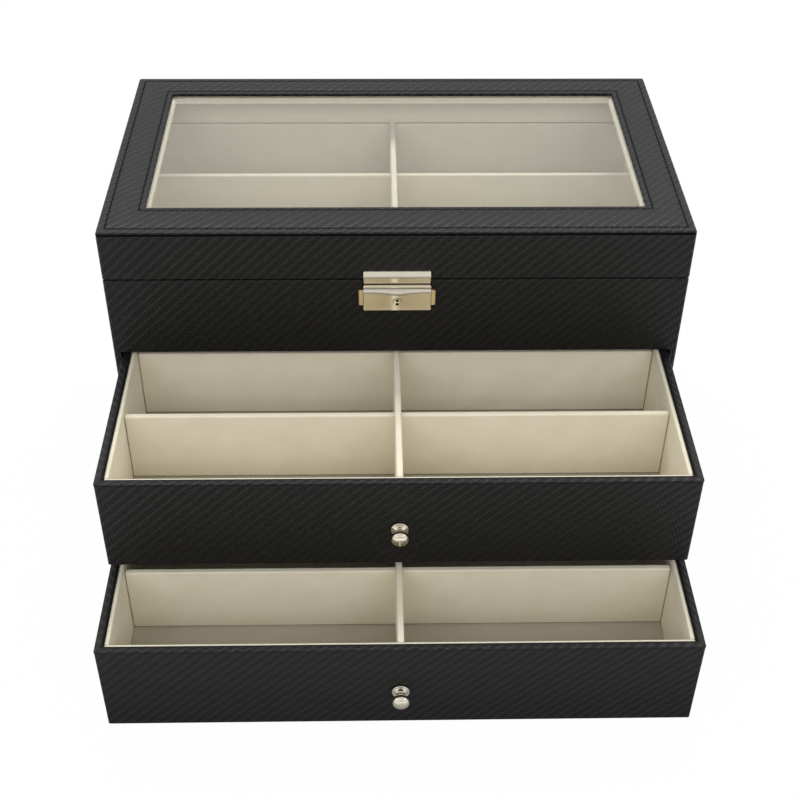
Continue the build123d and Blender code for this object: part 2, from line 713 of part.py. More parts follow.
save_drawer("upper_drawer", upper_bottom, UPPER_HELD)
save_drawer("lower_drawer", lower_bottom, LOWER_HELD)
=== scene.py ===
"""Looks of the accessory box: coverings, linings, glass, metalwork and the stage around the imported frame."""

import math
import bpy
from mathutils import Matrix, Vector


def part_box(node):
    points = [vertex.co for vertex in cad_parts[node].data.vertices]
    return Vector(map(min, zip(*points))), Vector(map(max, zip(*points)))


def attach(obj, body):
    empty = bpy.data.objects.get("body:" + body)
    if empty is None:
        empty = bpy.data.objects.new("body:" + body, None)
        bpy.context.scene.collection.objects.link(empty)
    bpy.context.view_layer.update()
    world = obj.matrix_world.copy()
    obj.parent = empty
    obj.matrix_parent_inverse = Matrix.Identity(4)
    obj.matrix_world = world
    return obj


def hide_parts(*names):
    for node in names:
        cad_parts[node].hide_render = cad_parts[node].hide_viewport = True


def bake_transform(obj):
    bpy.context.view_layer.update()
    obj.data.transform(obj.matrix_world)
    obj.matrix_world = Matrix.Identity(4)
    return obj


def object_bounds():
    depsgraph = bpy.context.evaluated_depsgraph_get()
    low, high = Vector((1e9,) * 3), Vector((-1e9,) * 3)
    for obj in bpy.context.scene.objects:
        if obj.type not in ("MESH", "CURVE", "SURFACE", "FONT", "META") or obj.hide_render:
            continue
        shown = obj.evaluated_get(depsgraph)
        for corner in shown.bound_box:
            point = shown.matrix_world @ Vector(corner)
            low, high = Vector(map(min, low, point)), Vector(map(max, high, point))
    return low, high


bl_info = {
    "name": "Accessory box looks",
    "version": (1, 0, 0),
    "blender": (4, 5, 0),
    "location": "View3D > Sidebar > Accessory box",
    "description": "Coverings, linings, glass, metalwork and stage for the accessory box",
    "category": "Object",
}

import bpy
import numpy as np
from bpy.props import FloatProperty, FloatVectorProperty, IntProperty, PointerProperty
from bpy.types import Operator, Panel, PropertyGroup
from mathutils import Matrix, Vector

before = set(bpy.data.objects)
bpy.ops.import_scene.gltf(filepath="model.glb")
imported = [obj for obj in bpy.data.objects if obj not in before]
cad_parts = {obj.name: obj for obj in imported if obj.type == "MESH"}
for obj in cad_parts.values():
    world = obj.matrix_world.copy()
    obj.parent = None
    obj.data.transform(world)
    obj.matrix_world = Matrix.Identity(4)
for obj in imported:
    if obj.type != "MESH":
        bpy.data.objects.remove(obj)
CAD_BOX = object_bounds()
MM = 0.001
DRAWERS = ("upper_drawer", "lower_drawer")
LEAST_RADIUS = 0.05 * MM
# Radius and projection as shares of the knob's own, and corner radius in millimetres
KNOB_FOOT = (
    (0.3, 0.0, 0.0), (1.0, 0.0, 0.15), (1.0, 0.1, 0.5), (0.86, 0.12, 0.25), (0.81, 0.1, 0.1),
    (0.44, 0.19, 0.6), (0.36, 0.32, 0.5), (0.42, 0.42, 0.0),
)
# Dark and light tone of the fibres; the recess entry is near-black painted shade for the key's holes and gap
BOARD_TONES = {
    "recess_shade": ((0.004, 0.004, 0.003, 1.0), (0.01, 0.009, 0.007, 1.0)),
    "bay_paper": ((0.006, 0.006, 0.006, 1.0), (0.014, 0.013, 0.012, 1.0)),
    "base_felt": ((0.01, 0.01, 0.01, 1.0), (0.03, 0.03, 0.03, 1.0)),
}


# Settings that a user would change


class CoveringSettings(PropertyGroup):
    """Black leatherette with an embossed twill"""

    colour: FloatVectorProperty(
        name="Leatherette", description="Colour of the covering", subtype="COLOR", size=4,
        default=(0.005, 0.005, 0.0048, 1.0),
    )
    crest_colour: FloatVectorProperty(
        name="Crests", description="Colour of the raised bands of the embossing", subtype="COLOR", size=4,
        default=(0.0112, 0.0112, 0.0108, 1.0),
    )
    tow: FloatProperty(
        name="Tow width", description="Width of one cell of the embossed twill", unit="LENGTH",
        default=1.68 * MM,
    )
    emboss: FloatProperty(
        name="Emboss depth", description="Depth of the embossing", unit="LENGTH", default=0.4 * MM
    )
    thickness: FloatProperty(
        name="Thickness", description="Thickness of the covering", unit="LENGTH", default=0.8 * MM
    )
    corner: FloatProperty(
        name="Corner radius", description="Radius of the upright corners", unit="LENGTH", default=1.4 * MM
    )
    edge: FloatProperty(
        name="Edge radius", description="Radius of the folded edges", unit="LENGTH", default=1.0 * MM
    )
    band: FloatProperty(
        name="Edge band", description="Height of the band folded over a drawer's rim", unit="LENGTH",
        default=1.0 * MM,
    )


class LiningSettings(PropertyGroup):
    """Cream velvet on thin boards"""

    colour: FloatVectorProperty(
        name="Velvet", description="Colour of the lining", subtype="COLOR", size=4,
        default=(0.77, 0.715, 0.58, 1.0),
    )
    shade: FloatVectorProperty(
        name="Velvet shade", description="Colour where the pile lies the other way", subtype="COLOR", size=4,
        default=(0.71, 0.655, 0.515, 1.0),
    )
    edge: FloatProperty(
        name="Edge radius", description="Radius of the covered board edges", unit="LENGTH", default=1.0 * MM
    )
    floor_edge: FloatProperty(
        name="Floor edge", description="Radius of the floors' edges", unit="LENGTH", default=0.5 * MM
    )
    # Painted shade: the floors' velvet is darkened to this share to stand in for the shade deep in the
    # compartments.
    floor_shade_share: FloatProperty(
        name="Floor tone", description="Tone of the floors, whose pile lies away from the eye", default=0.6
    )
    floor_gap: FloatProperty(
        name="Divider lift", description="Gap under the dividers", unit="LENGTH", default=0.6 * MM
    )
    ledge: FloatProperty(
        name="Ledge", description="Width of the velvet that shows round the glass", unit="LENGTH",
        default=1.8 * MM,
    )


class MetalSettings(PropertyGroup):
    """Pale plated metal"""

    colour: FloatVectorProperty(
        name="Plating", description="Colour of the plating", subtype="COLOR", size=4,
        default=(0.86, 0.79, 0.66, 1.0),
    )
    gilt: FloatVectorProperty(
        name="Tabs", description="Colour of the release tabs", subtype="COLOR", size=4,
        default=(0.92, 0.76, 0.5, 1.0),
    )
    roughness: FloatProperty(
        name="Roughness", description="Roughness of the polished metal", default=0.11, min=0.0, max=1.0
    )
    satin: FloatProperty(
        name="Satin", description="Roughness of hinges, screws and springs", default=0.3, min=0.0, max=1.0
    )
    gilt_roughness: FloatProperty(
        name="Tab roughness", description="Roughness of the release tabs", default=0.22, min=0.0, max=1.0
    )
    spring_wire: FloatProperty(
        name="Spring wire", description="Thickness of the springs' wire", unit="LENGTH", default=0.4 * MM
    )
    spring_turns: IntProperty(name="Spring turns", description="Turns of a release spring", default=6, min=1)


class StitchSettings(PropertyGroup):
    """Sewn lines round the lid's border"""

    pitch: FloatProperty(name="Pitch", description="From stitch to stitch", unit="LENGTH", default=3.4 * MM)
    length: FloatProperty(name="Length", description="Length of a stitch", unit="LENGTH", default=2.5 * MM)
    radius: FloatProperty(
        name="Thread", description="Radius of the thread", unit="LENGTH", default=0.44 * MM
    )
    outer: FloatProperty(
        name="Outer line", description="Outer line's distance from the lid's edge", unit="LENGTH",
        default=4.6 * MM,
    )
    inner: FloatProperty(
        name="Inner line", description="Inner line's distance from the window", unit="LENGTH",
        default=3.4 * MM,
    )
    groove: FloatProperty(
        name="Groove", description="Half width of the drawn-in line", unit="LENGTH", default=0.5 * MM
    )
    depth: FloatProperty(
        name="Depth", description="Depth of the drawn-in line", unit="LENGTH", default=0.8 * MM
    )
    crown: FloatProperty(
        name="Crown", description="Rise of the border between its lines", unit="LENGTH", default=0.6 * MM
    )
    seam: FloatProperty(
        name="Seam", description="Height of the gap under the border's edge", unit="LENGTH", default=0.7 * MM
    )
    sides: IntProperty(name="Sides", description="Sides of the thread", default=6, min=4)


class StageSettings(PropertyGroup):
    """Camera, floor and lights"""

    camera: FloatVectorProperty(
        name="Camera", description="Place of the camera", subtype="XYZ", unit="LENGTH",
        default=(-0.01418, -0.71969, 0.61495),
    )
    pitch: FloatProperty(name="Pitch", description="Degrees down", default=39.68)
    yaw: FloatProperty(name="Yaw", description="Degrees to the right", default=1.52)
    roll: FloatProperty(name="Roll", description="Degrees of roll", default=0.63)
    lens: FloatProperty(name="Lens", description="Focal length in millimetres", default=59.586)
    horizon: FloatProperty(name="Horizon", description="Strength of the light from the horizon", default=0.4)
    ring: FloatProperty(name="Ring", description="Strength of the light from half way up", default=1.3)
    ceiling: FloatProperty(
        name="Ceiling", description="Strength of the light from straight above", default=0.42
    )
    tilt: FloatProperty(name="Tilt", description="How much lower the ring is at the front", default=0.15)
    sides: FloatProperty(name="Sides", description="Share by which the sides are brighter", default=0.8)
    behind: FloatProperty(name="Behind", description="Share by which the back is brighter", default=0.3)
    front: FloatProperty(name="Front light", description="Power of the front light in watts", default=11.6)
    above: FloatProperty(name="Top light", description="Power of the top light in watts", default=15.0)


# Shader building blocks


def grey(value):
    """Opaque grey."""
    return (value, value, value, 1.0)


def toned(colour, share):
    """A colour brought down to a share of itself."""
    return (*(share * c for c in colour[:3]), 1.0)


def feed(tree, node, values):
    """Inputs of a node, by label or number: sockets are linked, and numbers and colours are set."""
    for label, value in values.items():
        if isinstance(value, bpy.types.NodeSocket):
            tree.links.new(value, node.inputs[label])
        else:
            node.inputs[label].default_value = value


def add_node(tree, kind, values=None, **options):
    """New shader node with its options and inputs."""
    node = tree.nodes.new(f"ShaderNode{kind}")
    for option, value in options.items():
        setattr(node, option, value)
    feed(tree, node, values or {})
    return node


def math_node(tree, operation, *inputs):
    """Result of one Math node; inputs are sockets or numbers."""
    return add_node(tree, "Math", dict(enumerate(inputs)), operation=operation).outputs[0]


def spread(tree, factor, low, high):
    """A socket between 0 and 1 carried to a range."""
    return math_node(tree, "MULTIPLY_ADD", factor, high - low, low)


def soft_step(tree, value, span, levels):
    """A socket carried smoothly from one level to the other over a span."""
    ends = {"From Min": span[0], "From Max": span[1], "To Min": levels[0], "To Max": levels[1]}
    node = add_node(tree, "MapRange", {"Value": value, **ends}, interpolation_type="SMOOTHSTEP")
    return node.outputs["Result"]


def blend_colours(tree, factor, first, second):
    """Mix of two colours by a socket; the colours may be sockets too."""
    values = {"Factor": factor, "A": first, "B": second}
    return add_node(tree, "Mix", values, data_type="RGBA").outputs["Result"]


def bump(tree, height, distance, strength, under=None):
    """Normal of a Bump node over a height socket, on top of another normal where one is given."""
    values = {"Strength": strength, "Distance": distance, "Height": height}
    if under is not None:
        values["Normal"] = under
    return add_node(tree, "Bump", values).outputs["Normal"]


def object_space(tree):
    """Object coordinates, which stay on the piece."""
    return add_node(tree, "TexCoord").outputs["Object"]


def crease_shade_mask(tree):
    """The piece's marks of painted shade in its pressed and drawn-in lines, 0 where it has none."""
    return add_node(tree, "Attribute", attribute_name="crease").outputs["Fac"]


def mix_shaders(tree, share, first, second):
    """Mix of two shaders by a socket."""
    return add_node(tree, "MixShader", {"Fac": share, 1: first, 2: second}).outputs["Shader"]


def eye_rays(tree, rays):
    """1 for rays that reach the eye straight or through glass."""
    return math_node(tree, "MAXIMUM", rays["Is Camera Ray"], rays["Is Transmission Ray"])


def new_group(name, inputs, outputs):
    """Empty shader node group with the given named sockets, and its input and output nodes."""
    tree = bpy.data.node_groups.new(name, "ShaderNodeTree")
    for label, kind, default in inputs:
        socket = tree.interface.new_socket(label, in_out="INPUT", socket_type=kind)
        if default is not None:
            socket.default_value = default
    for label in outputs:
        tree.interface.new_socket(label, in_out="OUTPUT", socket_type="NodeSocketFloat")
    return tree, tree.nodes.new("NodeGroupInput").outputs, tree.nodes.new("NodeGroupOutput")


def twill_group():
    """Two-over-two twill on a UV in metres.

    With cells of one tow, the warp lies on top where (column - row) mod 4 is 0 or 1, and the weft where
    it is 2 or 3. A float is two cells long. Its height is a parabola across times a dip at its ends.
    The bands that the eye sees run along the diagonal: (1 + cos(pi / 2 * (u - v - 0.5))) / 2.
    """
    name = "Twill emboss"
    if name in bpy.data.node_groups:
        return bpy.data.node_groups[name]
    tree, given, result = new_group(
        name,
        [("Vector", "NodeSocketVector", None), ("Tow", "NodeSocketFloat", 1.68 * MM)],
        ["Float", "Band"],
    )

    def node(operation, *inputs):
        return math_node(tree, operation, *inputs)

    def half_round(t):
        centred = node("MULTIPLY_ADD", t, 2.0, -1.0)
        return node("SUBTRACT", 1.0, node("MULTIPLY", centred, centred))

    def dipped(t):
        centred = node("ABSOLUTE", node("MULTIPLY_ADD", t, 2.0, -1.0))
        return node("SUBTRACT", 1.0, node("POWER", centred, 3.0))

    def along_float(t, cell):
        return node("MULTIPLY", node("ADD", t, cell), 0.5)

    split = add_node(tree, "SeparateXYZ", {0: given["Vector"]}).outputs
    across, along = (node("DIVIDE", split[axis], given["Tow"]) for axis in "XY")
    column, row = node("FLOOR", across), node("FLOOR", along)
    fu, fv = node("SUBTRACT", across, column), node("SUBTRACT", along, row)
    step = node("FLOORED_MODULO", node("SUBTRACT", column, row), 4.0)
    warp_run = along_float(fv, node("SUBTRACT", 1.0, step))
    weft_run = along_float(fu, node("SUBTRACT", step, 2.0))
    height = add_node(tree, "Mix", {
        "Factor": node("LESS_THAN", step, 1.5),
        "A": node("MULTIPLY", half_round(fv), dipped(weft_run)),
        "B": node("MULTIPLY", half_round(fu), dipped(warp_run)),
    })
    phase = node("SUBTRACT", node("SUBTRACT", across, along), 0.5)
    wave = node("COSINE", node("MULTIPLY", phase, math.pi / 2))
    feed(tree, result, {"Float": height.outputs["Result"], "Band": node("MULTIPLY_ADD", wave, 0.5, 0.5)})
    return tree


def grain_group():
    """Fine and broad uneven grain in object space: noise of two octaves, each about 0.5 on average."""
    name = "Fine grain"
    if name in bpy.data.node_groups:
        return bpy.data.node_groups[name]
    tree, given, result = new_group(
        name,
        [("Vector", "NodeSocketVector", None), ("Fine", "NodeSocketFloat", 3000.0),
         ("Broad", "NodeSocketFloat", 60.0)],
        ["Fine", "Broad"],
    )
    for label in ("Fine", "Broad"):
        noise = add_node(tree, "TexNoise", {"Detail": 2.0, "Vector": given["Vector"], "Scale": given[label]})
        feed(tree, result, {label: noise.outputs["Fac"]})
    return tree


def place_group(tree, group, vector, **values):
    """Outputs of a group node fed with a vector socket and its own values."""
    return add_node(tree, "Group", {"Vector": vector, **values}, node_tree=group).outputs


def new_material(name):
    """Empty material with a Principled shader wired to its output."""
    material = bpy.data.materials.new(name)
    material.use_nodes = True
    tree = material.node_tree
    tree.nodes.clear()
    shader = add_node(tree, "BsdfPrincipled")
    add_node(tree, "OutputMaterial", {"Surface": shader.outputs["BSDF"]})
    return material, tree, shader


def show_mix(tree, share, first, second):
    """Lead the mix of two shaders to the material's output."""
    output = next(node for node in tree.nodes if node.type == "OUTPUT_MATERIAL")
    feed(tree, output, {"Surface": mix_shaders(tree, share, first, second)})


# Finishes


def make_leatherette(settings):
    """Black coated fabric: embossed twill along the piece's own UV, with a fine skin grain, and painted shade
    in its creases.
    """
    valley_rough, crest_rough, crease_rough = 0.48, 0.27, 0.45
    float_relief, band_relief, relief_strength = 0.5, 0.55, 0.8
    skin_depth, skin_strength = 0.02 * MM, 0.5
    material, tree, shader = new_material("twill_leatherette")
    weave = add_node(tree, "UVMap", uv_map="weave").outputs["UV"]
    twill = place_group(tree, twill_group(), weave, Tow=settings.tow)
    grain = place_group(tree, grain_group(), object_space(tree), Fine=5000.0, Broad=35.0)
    # Painted shade: where the piece marks a crease, the colour goes near black and the crests' lighter tone is
    # damped.
    crease = crease_shade_mask(tree)
    crest = math_node(tree, "MULTIPLY", twill["Band"], math_node(tree, "SUBTRACT", 1.0, crease))
    woven = blend_colours(tree, crest, settings.colour, settings.crest_colour)
    uneven = spread(tree, grain["Broad"], -0.03, 0.05)
    rough = math_node(tree, "ADD", spread(tree, crest, valley_rough, crest_rough), uneven)
    bands = math_node(tree, "MULTIPLY", twill["Band"], band_relief)
    relief = math_node(tree, "MULTIPLY_ADD", twill["Float"], float_relief, bands)
    skin = bump(tree, grain["Fine"], skin_depth, skin_strength)
    feed(tree, shader, {
        "Base Color": blend_colours(tree, crease, woven, grey(0.001)),
        "Roughness": math_node(tree, "MULTIPLY_ADD", crease, crease_rough, rough),
        "Normal": bump(tree, relief, settings.emboss, relief_strength, under=skin),
        "Specular IOR Level": 0.24,
    })
    return material


def make_velvet(name, settings, tone=1.0):
    """Cream velvet: short pile that shades in soft patches, with a fuzzy sheen; tone darkens the whole as
    painted shade, which the floors take.
    """
    broad_share, fine_share, pile_depth = 0.75, 0.25, 0.12 * MM
    material, tree, shader = new_material(name)
    light, dark = toned(settings.colour, tone), toned(settings.shade, tone)
    pile = place_group(tree, grain_group(), object_space(tree), Fine=2600.0, Broad=70.0)
    fine = math_node(tree, "MULTIPLY", pile["Fine"], fine_share)
    patch = spread(tree, math_node(tree, "MULTIPLY_ADD", pile["Broad"], broad_share, fine), -0.6, 1.6)
    feed(tree, shader, {
        "Base Color": blend_colours(tree, patch, dark, light),
        "Roughness": spread(tree, pile["Fine"], 0.82, 0.98),
        "Normal": bump(tree, pile["Fine"], pile_depth, 0.6),
        "Specular IOR Level": 0.15,
        "Sheen Weight": 0.25,
        "Sheen Roughness": 0.5,
        "Sheen Tint": light,
    })
    return material


def make_metal(name, colour, polish):
    """Plated metal with faint handling marks in its gloss, and painted shade that darkens its pressed lines
    and marked hollows.
    """
    dull_share, pressed_shade_colour = 0.9, (0.1, 0.085, 0.06, 1.0)
    fine_marks, broad_marks, dent = 0.04, 0.03, 0.05 * MM
    material, tree, shader = new_material(name)
    marks = place_group(tree, grain_group(), object_space(tree), Fine=1400.0, Broad=90.0)
    plated = blend_colours(tree, marks["Broad"], toned(colour, dull_share), colour)
    rough = math_node(
        tree, "ADD", spread(tree, marks["Fine"], polish - fine_marks, polish + fine_marks),
        spread(tree, marks["Broad"], -broad_marks, broad_marks),
    )
    feed(tree, shader, {
        "Base Color": blend_colours(tree, crease_shade_mask(tree), plated, pressed_shade_colour),
        "Roughness": rough,
        "Normal": bump(tree, marks["Broad"], dent, 0.25),
        "Metallic": 1.0,
    })
    return material


def make_covered_board(name, dark, light):
    """Thin paper or felt over board: matt fibres in two near tones."""
    fibre_depth = 0.08 * MM
    material, tree, shader = new_material(name)
    fibres = place_group(tree, grain_group(), object_space(tree), Fine=1800.0, Broad=40.0)
    feed(tree, shader, {
        "Base Color": blend_colours(tree, fibres["Fine"], dark, light),
        "Roughness": spread(tree, fibres["Broad"], 0.75, 0.95),
        "Normal": bump(tree, fibres["Fine"], fibre_depth, 0.5),
        "Specular IOR Level": 0.25,
    })
    return material


def make_thread(name):
    """Black twisted sewing thread."""
    twist_depth = 0.05 * MM
    material, tree, shader = new_material(name)
    twist = add_node(
        tree, "TexWave", {"Scale": 900.0, "Vector": object_space(tree)}, bands_direction="DIAGONAL"
    ).outputs["Fac"]
    feed(tree, shader, {
        "Base Color": blend_colours(tree, twist, grey(0.002), grey(0.006)),
        "Normal": bump(tree, twist, twist_depth, 0.5),
        "Roughness": 0.9,
        "Specular IOR Level": 0.02,
    })
    return material


def make_glass(name):
    """Clear float glass that lets the light through to the tray."""
    material, tree, shader = new_material(name)
    feed(tree, shader, {
        "Base Color": (0.99, 0.995, 0.985, 1.0), "Roughness": 0.0, "Transmission Weight": 1.0, "IOR": 1.5,
    })
    clear = add_node(tree, "BsdfTransparent", {"Color": (0.87, 0.875, 0.865, 1.0)})
    rays = add_node(tree, "LightPath").outputs
    passing = math_node(tree, "MAXIMUM", rays["Is Shadow Ray"], rays["Is Diffuse Ray"])
    show_mix(tree, passing, shader.outputs["BSDF"], clear.outputs["BSDF"])
    return material


def finish_of(name):
    """The named finish, made the first time it is asked for."""
    if name in bpy.data.materials:
        return bpy.data.materials[name]
    if name in BOARD_TONES:
        return make_covered_board(name, *BOARD_TONES[name])
    scene = bpy.context.scene
    lining, metal = scene.box_lining, scene.box_metal
    makers = {
        "twill_leatherette": lambda: make_leatherette(scene.box_covering),
        "cream_velvet": lambda: make_velvet(name, lining),
        "shaded_floor_velvet": lambda: make_velvet(name, lining, lining.floor_shade_share),
        "plating": lambda: make_metal(name, metal.colour, metal.roughness),
        "satin_plating": lambda: make_metal(name, metal.colour, metal.satin),
        "gilt_plating": lambda: make_metal(name, metal.gilt, metal.gilt_roughness),
        "black_thread": lambda: make_thread(name),
        "clear_pane": lambda: make_glass(name),
    }
    return makers[name]()


# Mesh building blocks


def corner_box(node):
    """Lowest and highest corner of a frame node, as arrays."""
    low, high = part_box(node)
    return np.array(low), np.array(high)


def new_mesh(name, points, faces):
    """Mesh of an array of points and a list of faces."""
    mesh = bpy.data.meshes.new(name)
    mesh.from_pydata(np.reshape(points, (-1, 3)).tolist(), [], faces)
    return mesh


def tube_faces(rows, sides, ring=False):
    """Quads between rows of points round a tube, with a face over each end unless the rows make a ring."""
    number = np.arange(rows * sides).reshape(rows, sides)
    if ring:
        number = np.concatenate([number, number[:1]])
    on = np.roll(number, -1, 1)
    faces = np.stack([number[:-1], on[:-1], on[1:], number[1:]], 2).reshape(-1, 4).tolist()
    return faces if ring else faces + [number[0, ::-1].tolist(), number[-1].tolist()]


def rounded_profile(corners, steps=5, support=0.35 * MM):
    """Polyline through corners (inset, height, radius).

    A corner with a radius becomes an arc tangent to its two sides: the arc starts r / tan(half the corner's
    angle) from the corner. A point a little before and after each arc keeps the flats flat when shaded.
    """
    points = np.array([c[:2] for c in corners], float)
    pieces = []
    for i, (_, _, radius) in enumerate(corners):
        if radius <= 0 or i in (0, len(corners) - 1):
            pieces.append(points[i : i + 1])
            continue
        before, after = points[i - 1] - points[i], points[i + 1] - points[i]
        before, after = before / np.linalg.norm(before), after / np.linalg.norm(after)
        half = math.acos(float(np.clip(before @ after, -1, 1))) / 2
        start = points[i] + before * radius / math.tan(half)
        end = points[i] + after * radius / math.tan(half)
        centre = points[i] + (before + after) / np.linalg.norm(before + after) * radius / math.sin(half)
        first = math.atan2(*(start - centre)[::-1])
        turn = math.remainder(math.atan2(*(end - centre)[::-1]) - first, 2 * math.pi)
        angle = first + turn * np.linspace(0, 1, steps + 1)
        arc = centre + radius * np.stack([np.cos(angle), np.sin(angle)], 1)
        pieces += [[start + before * support], arc, [end + after * support]]
    return np.concatenate(pieces)


def inset_stations(low, high, profile, corner):
    """Rounded rectangles of a profile (inset, height) inside an upright box: x0, x1, y0, y1, radius, z."""
    inset, height = profile.T
    return np.stack(
        [low[0] + inset, high[0] - inset, low[1] + inset, high[1] - inset,
         np.clip(corner - inset, LEAST_RADIUS, max(corner, LEAST_RADIUS)), height], 1,
    )


def ring_grid(stations, front_breaks=(), corner_steps=5, support=0.5 * MM):
    """Points of nested rounded rectangles, one row per station, anticlockwise from the middle of the back.

    Each corner is a quarter circle about (edge - radius), and each side is straight between two corners,
    with points a little way from the corners and at the given x values along the front.
    Returns the points (rows, columns, 3) and the outward normals of the columns (columns, 2).
    """
    x0, x1, y0, y1, radius, z = (column[:, None] for column in np.asarray(stations, float).T)
    quarter = np.linspace(0, math.pi / 2, corner_steps + 1)
    ones = np.ones_like(x0)

    def corner(cx, cy, start):
        heading = np.stack([np.cos(start + quarter), np.sin(start + quarter)], 1)
        return cx + radius * heading[:, 0], cy + radius * heading[:, 1], heading

    def side(xs, ys, normal):
        xs, ys = np.hstack(xs), np.hstack(ys)
        return xs, ys, np.tile(normal, (xs.shape[1], 1))

    left, right = x0 + radius, x1 - radius
    front, back = y0 + radius, y1 - radius
    front_x = [left + support] + [b * ones for b in front_breaks] + [right - support]
    runs = [
        side([0 * ones, left + support], [y1, y1], (0.0, 1.0)),
        corner(left, back, math.pi / 2),
        side([x0, x0], [back - support, front + support], (-1.0, 0.0)),
        corner(left, front, math.pi),
        side(front_x, [y0] * len(front_x), (0.0, -1.0)),
        corner(right, front, 1.5 * math.pi),
        side([x1, x1], [front + support, back - support], (1.0, 0.0)),
        corner(right, back, 0.0),
        side([right - support], [y1], (0.0, 1.0)),
    ]
    xs = np.hstack([run[0] for run in runs])
    ys = np.hstack([run[1] for run in runs])
    normals = np.concatenate([run[2] for run in runs])
    return np.stack([xs, ys, np.broadcast_to(z, xs.shape)], 2), normals


def around_uv(points):
    """Weave map of an upright skin: length round the widest row, and length along the section."""
    closed = np.concatenate([points, points[:, :1]], 1)
    runs = np.linalg.norm(np.diff(closed, axis=1), axis=2)
    u = np.concatenate([[0.0], np.cumsum(runs[runs.sum(1).argmax()])])
    section = points[:, points.shape[1] // 2]
    climbs = np.linalg.norm(np.diff(np.concatenate([section, section[:1]]), axis=0), axis=1)
    v = np.concatenate([[0.0], np.cumsum(climbs)])
    return np.stack(np.broadcast_arrays(u[None, :], v[:, None]), 2)


def unrolled_uv(points, normals, top):
    """Weave map of a panel seen from above, with its edges folded out flat: (x, y) + normal * drop."""
    drop = np.maximum(top - points[..., 2], 0.0)[..., None]
    flat = points[..., :2] + normals[None] * drop
    flat = np.concatenate([flat, flat[:, :1]], 1)
    return np.concatenate([flat, flat[:1]])


def skin_mesh(name, points, uv, holes=()):
    """Mesh of a closed section carried round a box, with a weave map.

    Rows run round the section and columns round the box, and both close. A hole is a column and two rows,
    one on the outer and one on the inner side of the skin: their faces go, and four faces join the edges.
    """
    rows, columns = points.shape[:2]
    k, j = (a.ravel() for a in np.meshgrid(np.arange(rows), np.arange(columns), indexing="ij"))
    up, on = (k + 1) % rows, (j + 1) % columns
    faces = np.stack([k * columns + j, k * columns + on, up * columns + on, up * columns + j], 1)
    corners = np.stack([uv[k, j], uv[k, j + 1], uv[k + 1, j + 1], uv[k + 1, j]], 1)
    kept = np.ones(len(faces), bool)
    jambs, jamb_corners = [], []
    for column, outer_row, inner_row in holes:
        outer, inner = outer_row * columns + column, inner_row * columns + column
        kept[[outer, inner]] = False
        rim, rim_uv = faces[outer], corners[outer]
        back = faces[inner][[3, 2, 1, 0]]
        for side in range(4):
            after = (side + 1) % 4
            jambs.append([rim[side], rim[after], back[after], back[side]])
            jamb_corners.append([rim_uv[side], rim_uv[after], rim_uv[after], rim_uv[side]])
    faces, corners = faces[kept], corners[kept]
    if holes:
        faces, corners = np.concatenate([faces, jambs]), np.concatenate([corners, jamb_corners])
    mesh = new_mesh(name, points, faces.tolist())
    layer = mesh.uv_layers.new(name="weave")
    layer.data.foreach_set("uv", corners.astype(np.float32).ravel())
    return mesh


def mark_crease_shade(mesh, values):
    """Painted shade in creases and pressed lines: one value from 0 to 1 for each point, which darkens the
    finish there.
    """
    layer = mesh.attributes.new("crease", "FLOAT", "POINT")
    layer.data.foreach_set("value", np.asarray(values, np.float32).ravel())


def rounded_slab(low, high, radius, steps=4):
    """Box with all edges rounded: each octant of a sphere of the radius, moved out to its corner.

    With the sphere's normal n and its octant's sign s, a point is s * (half size - radius) + radius * n.
    The flats lie between the octants, and all points of a quarter share its pole.
    Returns points, normals and faces.
    """
    low, high = np.asarray(low, float), np.asarray(high, float)
    half = (high - low) / 2
    radius = min(radius, 0.98 * float(half.min()))
    quarter = np.linspace(0, math.pi / 2, steps + 1)
    around = np.concatenate([quarter + i * math.pi / 2 for i in range(4)])
    side = np.repeat([[1, 1], [-1, 1], [-1, -1], [1, -1]], steps + 1, axis=0)
    climb = np.concatenate([quarter - math.pi / 2, quarter])
    lift = np.repeat([-1, 1], steps + 1)[:, None, None]
    a, b = np.meshgrid(around, climb)
    rows, columns = a.shape
    normals = np.stack([np.cos(b) * np.cos(a), np.cos(b) * np.sin(a), np.sin(b)], 2)
    signs = [np.broadcast_to(side, (rows, columns, 2)), np.broadcast_to(lift, (rows, columns, 1))]
    points = (low + high) / 2 + np.concatenate(signs, 2) * (half - radius) + radius * normals
    number = np.arange(rows * columns).reshape(rows, columns)
    poles = np.arange(columns) // (steps + 1) * (steps + 1)
    number[0], number[-1] = number[0, poles], number[-1, poles]
    used, number = np.unique(number, return_inverse=True)
    number = number.reshape(rows, columns)
    on = np.roll(number, -1, 1)
    quads = np.stack([number[:-1], on[:-1], on[1:], number[1:]], 2).reshape(-1, 4)
    below, above = quads[:, 0] == quads[:, 1], quads[:, 2] == quads[:, 3]
    corners = np.arange(4) * (steps + 1)
    faces = quads[~(below | above)].tolist() + quads[below][:, 1:].tolist() + quads[above][:, :3].tolist()
    faces += [number[0, corners[::-1]].tolist(), number[-1, corners].tolist()]
    return points.reshape(-1, 3)[used], normals.reshape(-1, 3)[used], faces


def slab_mesh(name, boxes, radius):
    """One mesh of several rounded slabs, with their exact normals."""
    points, normals, shapes = zip(*(rounded_slab(low, high, radius) for low, high in boxes))
    offsets = np.cumsum([0] + [len(p) for p in points])
    faces = [[index + offset for index in face] for offset, shape in zip(offsets, shapes) for face in shape]
    mesh = new_mesh(name, np.concatenate(points), faces)
    mesh.shade_smooth()
    mesh.normals_split_custom_set_from_vertices(np.concatenate(normals).tolist())
    return mesh


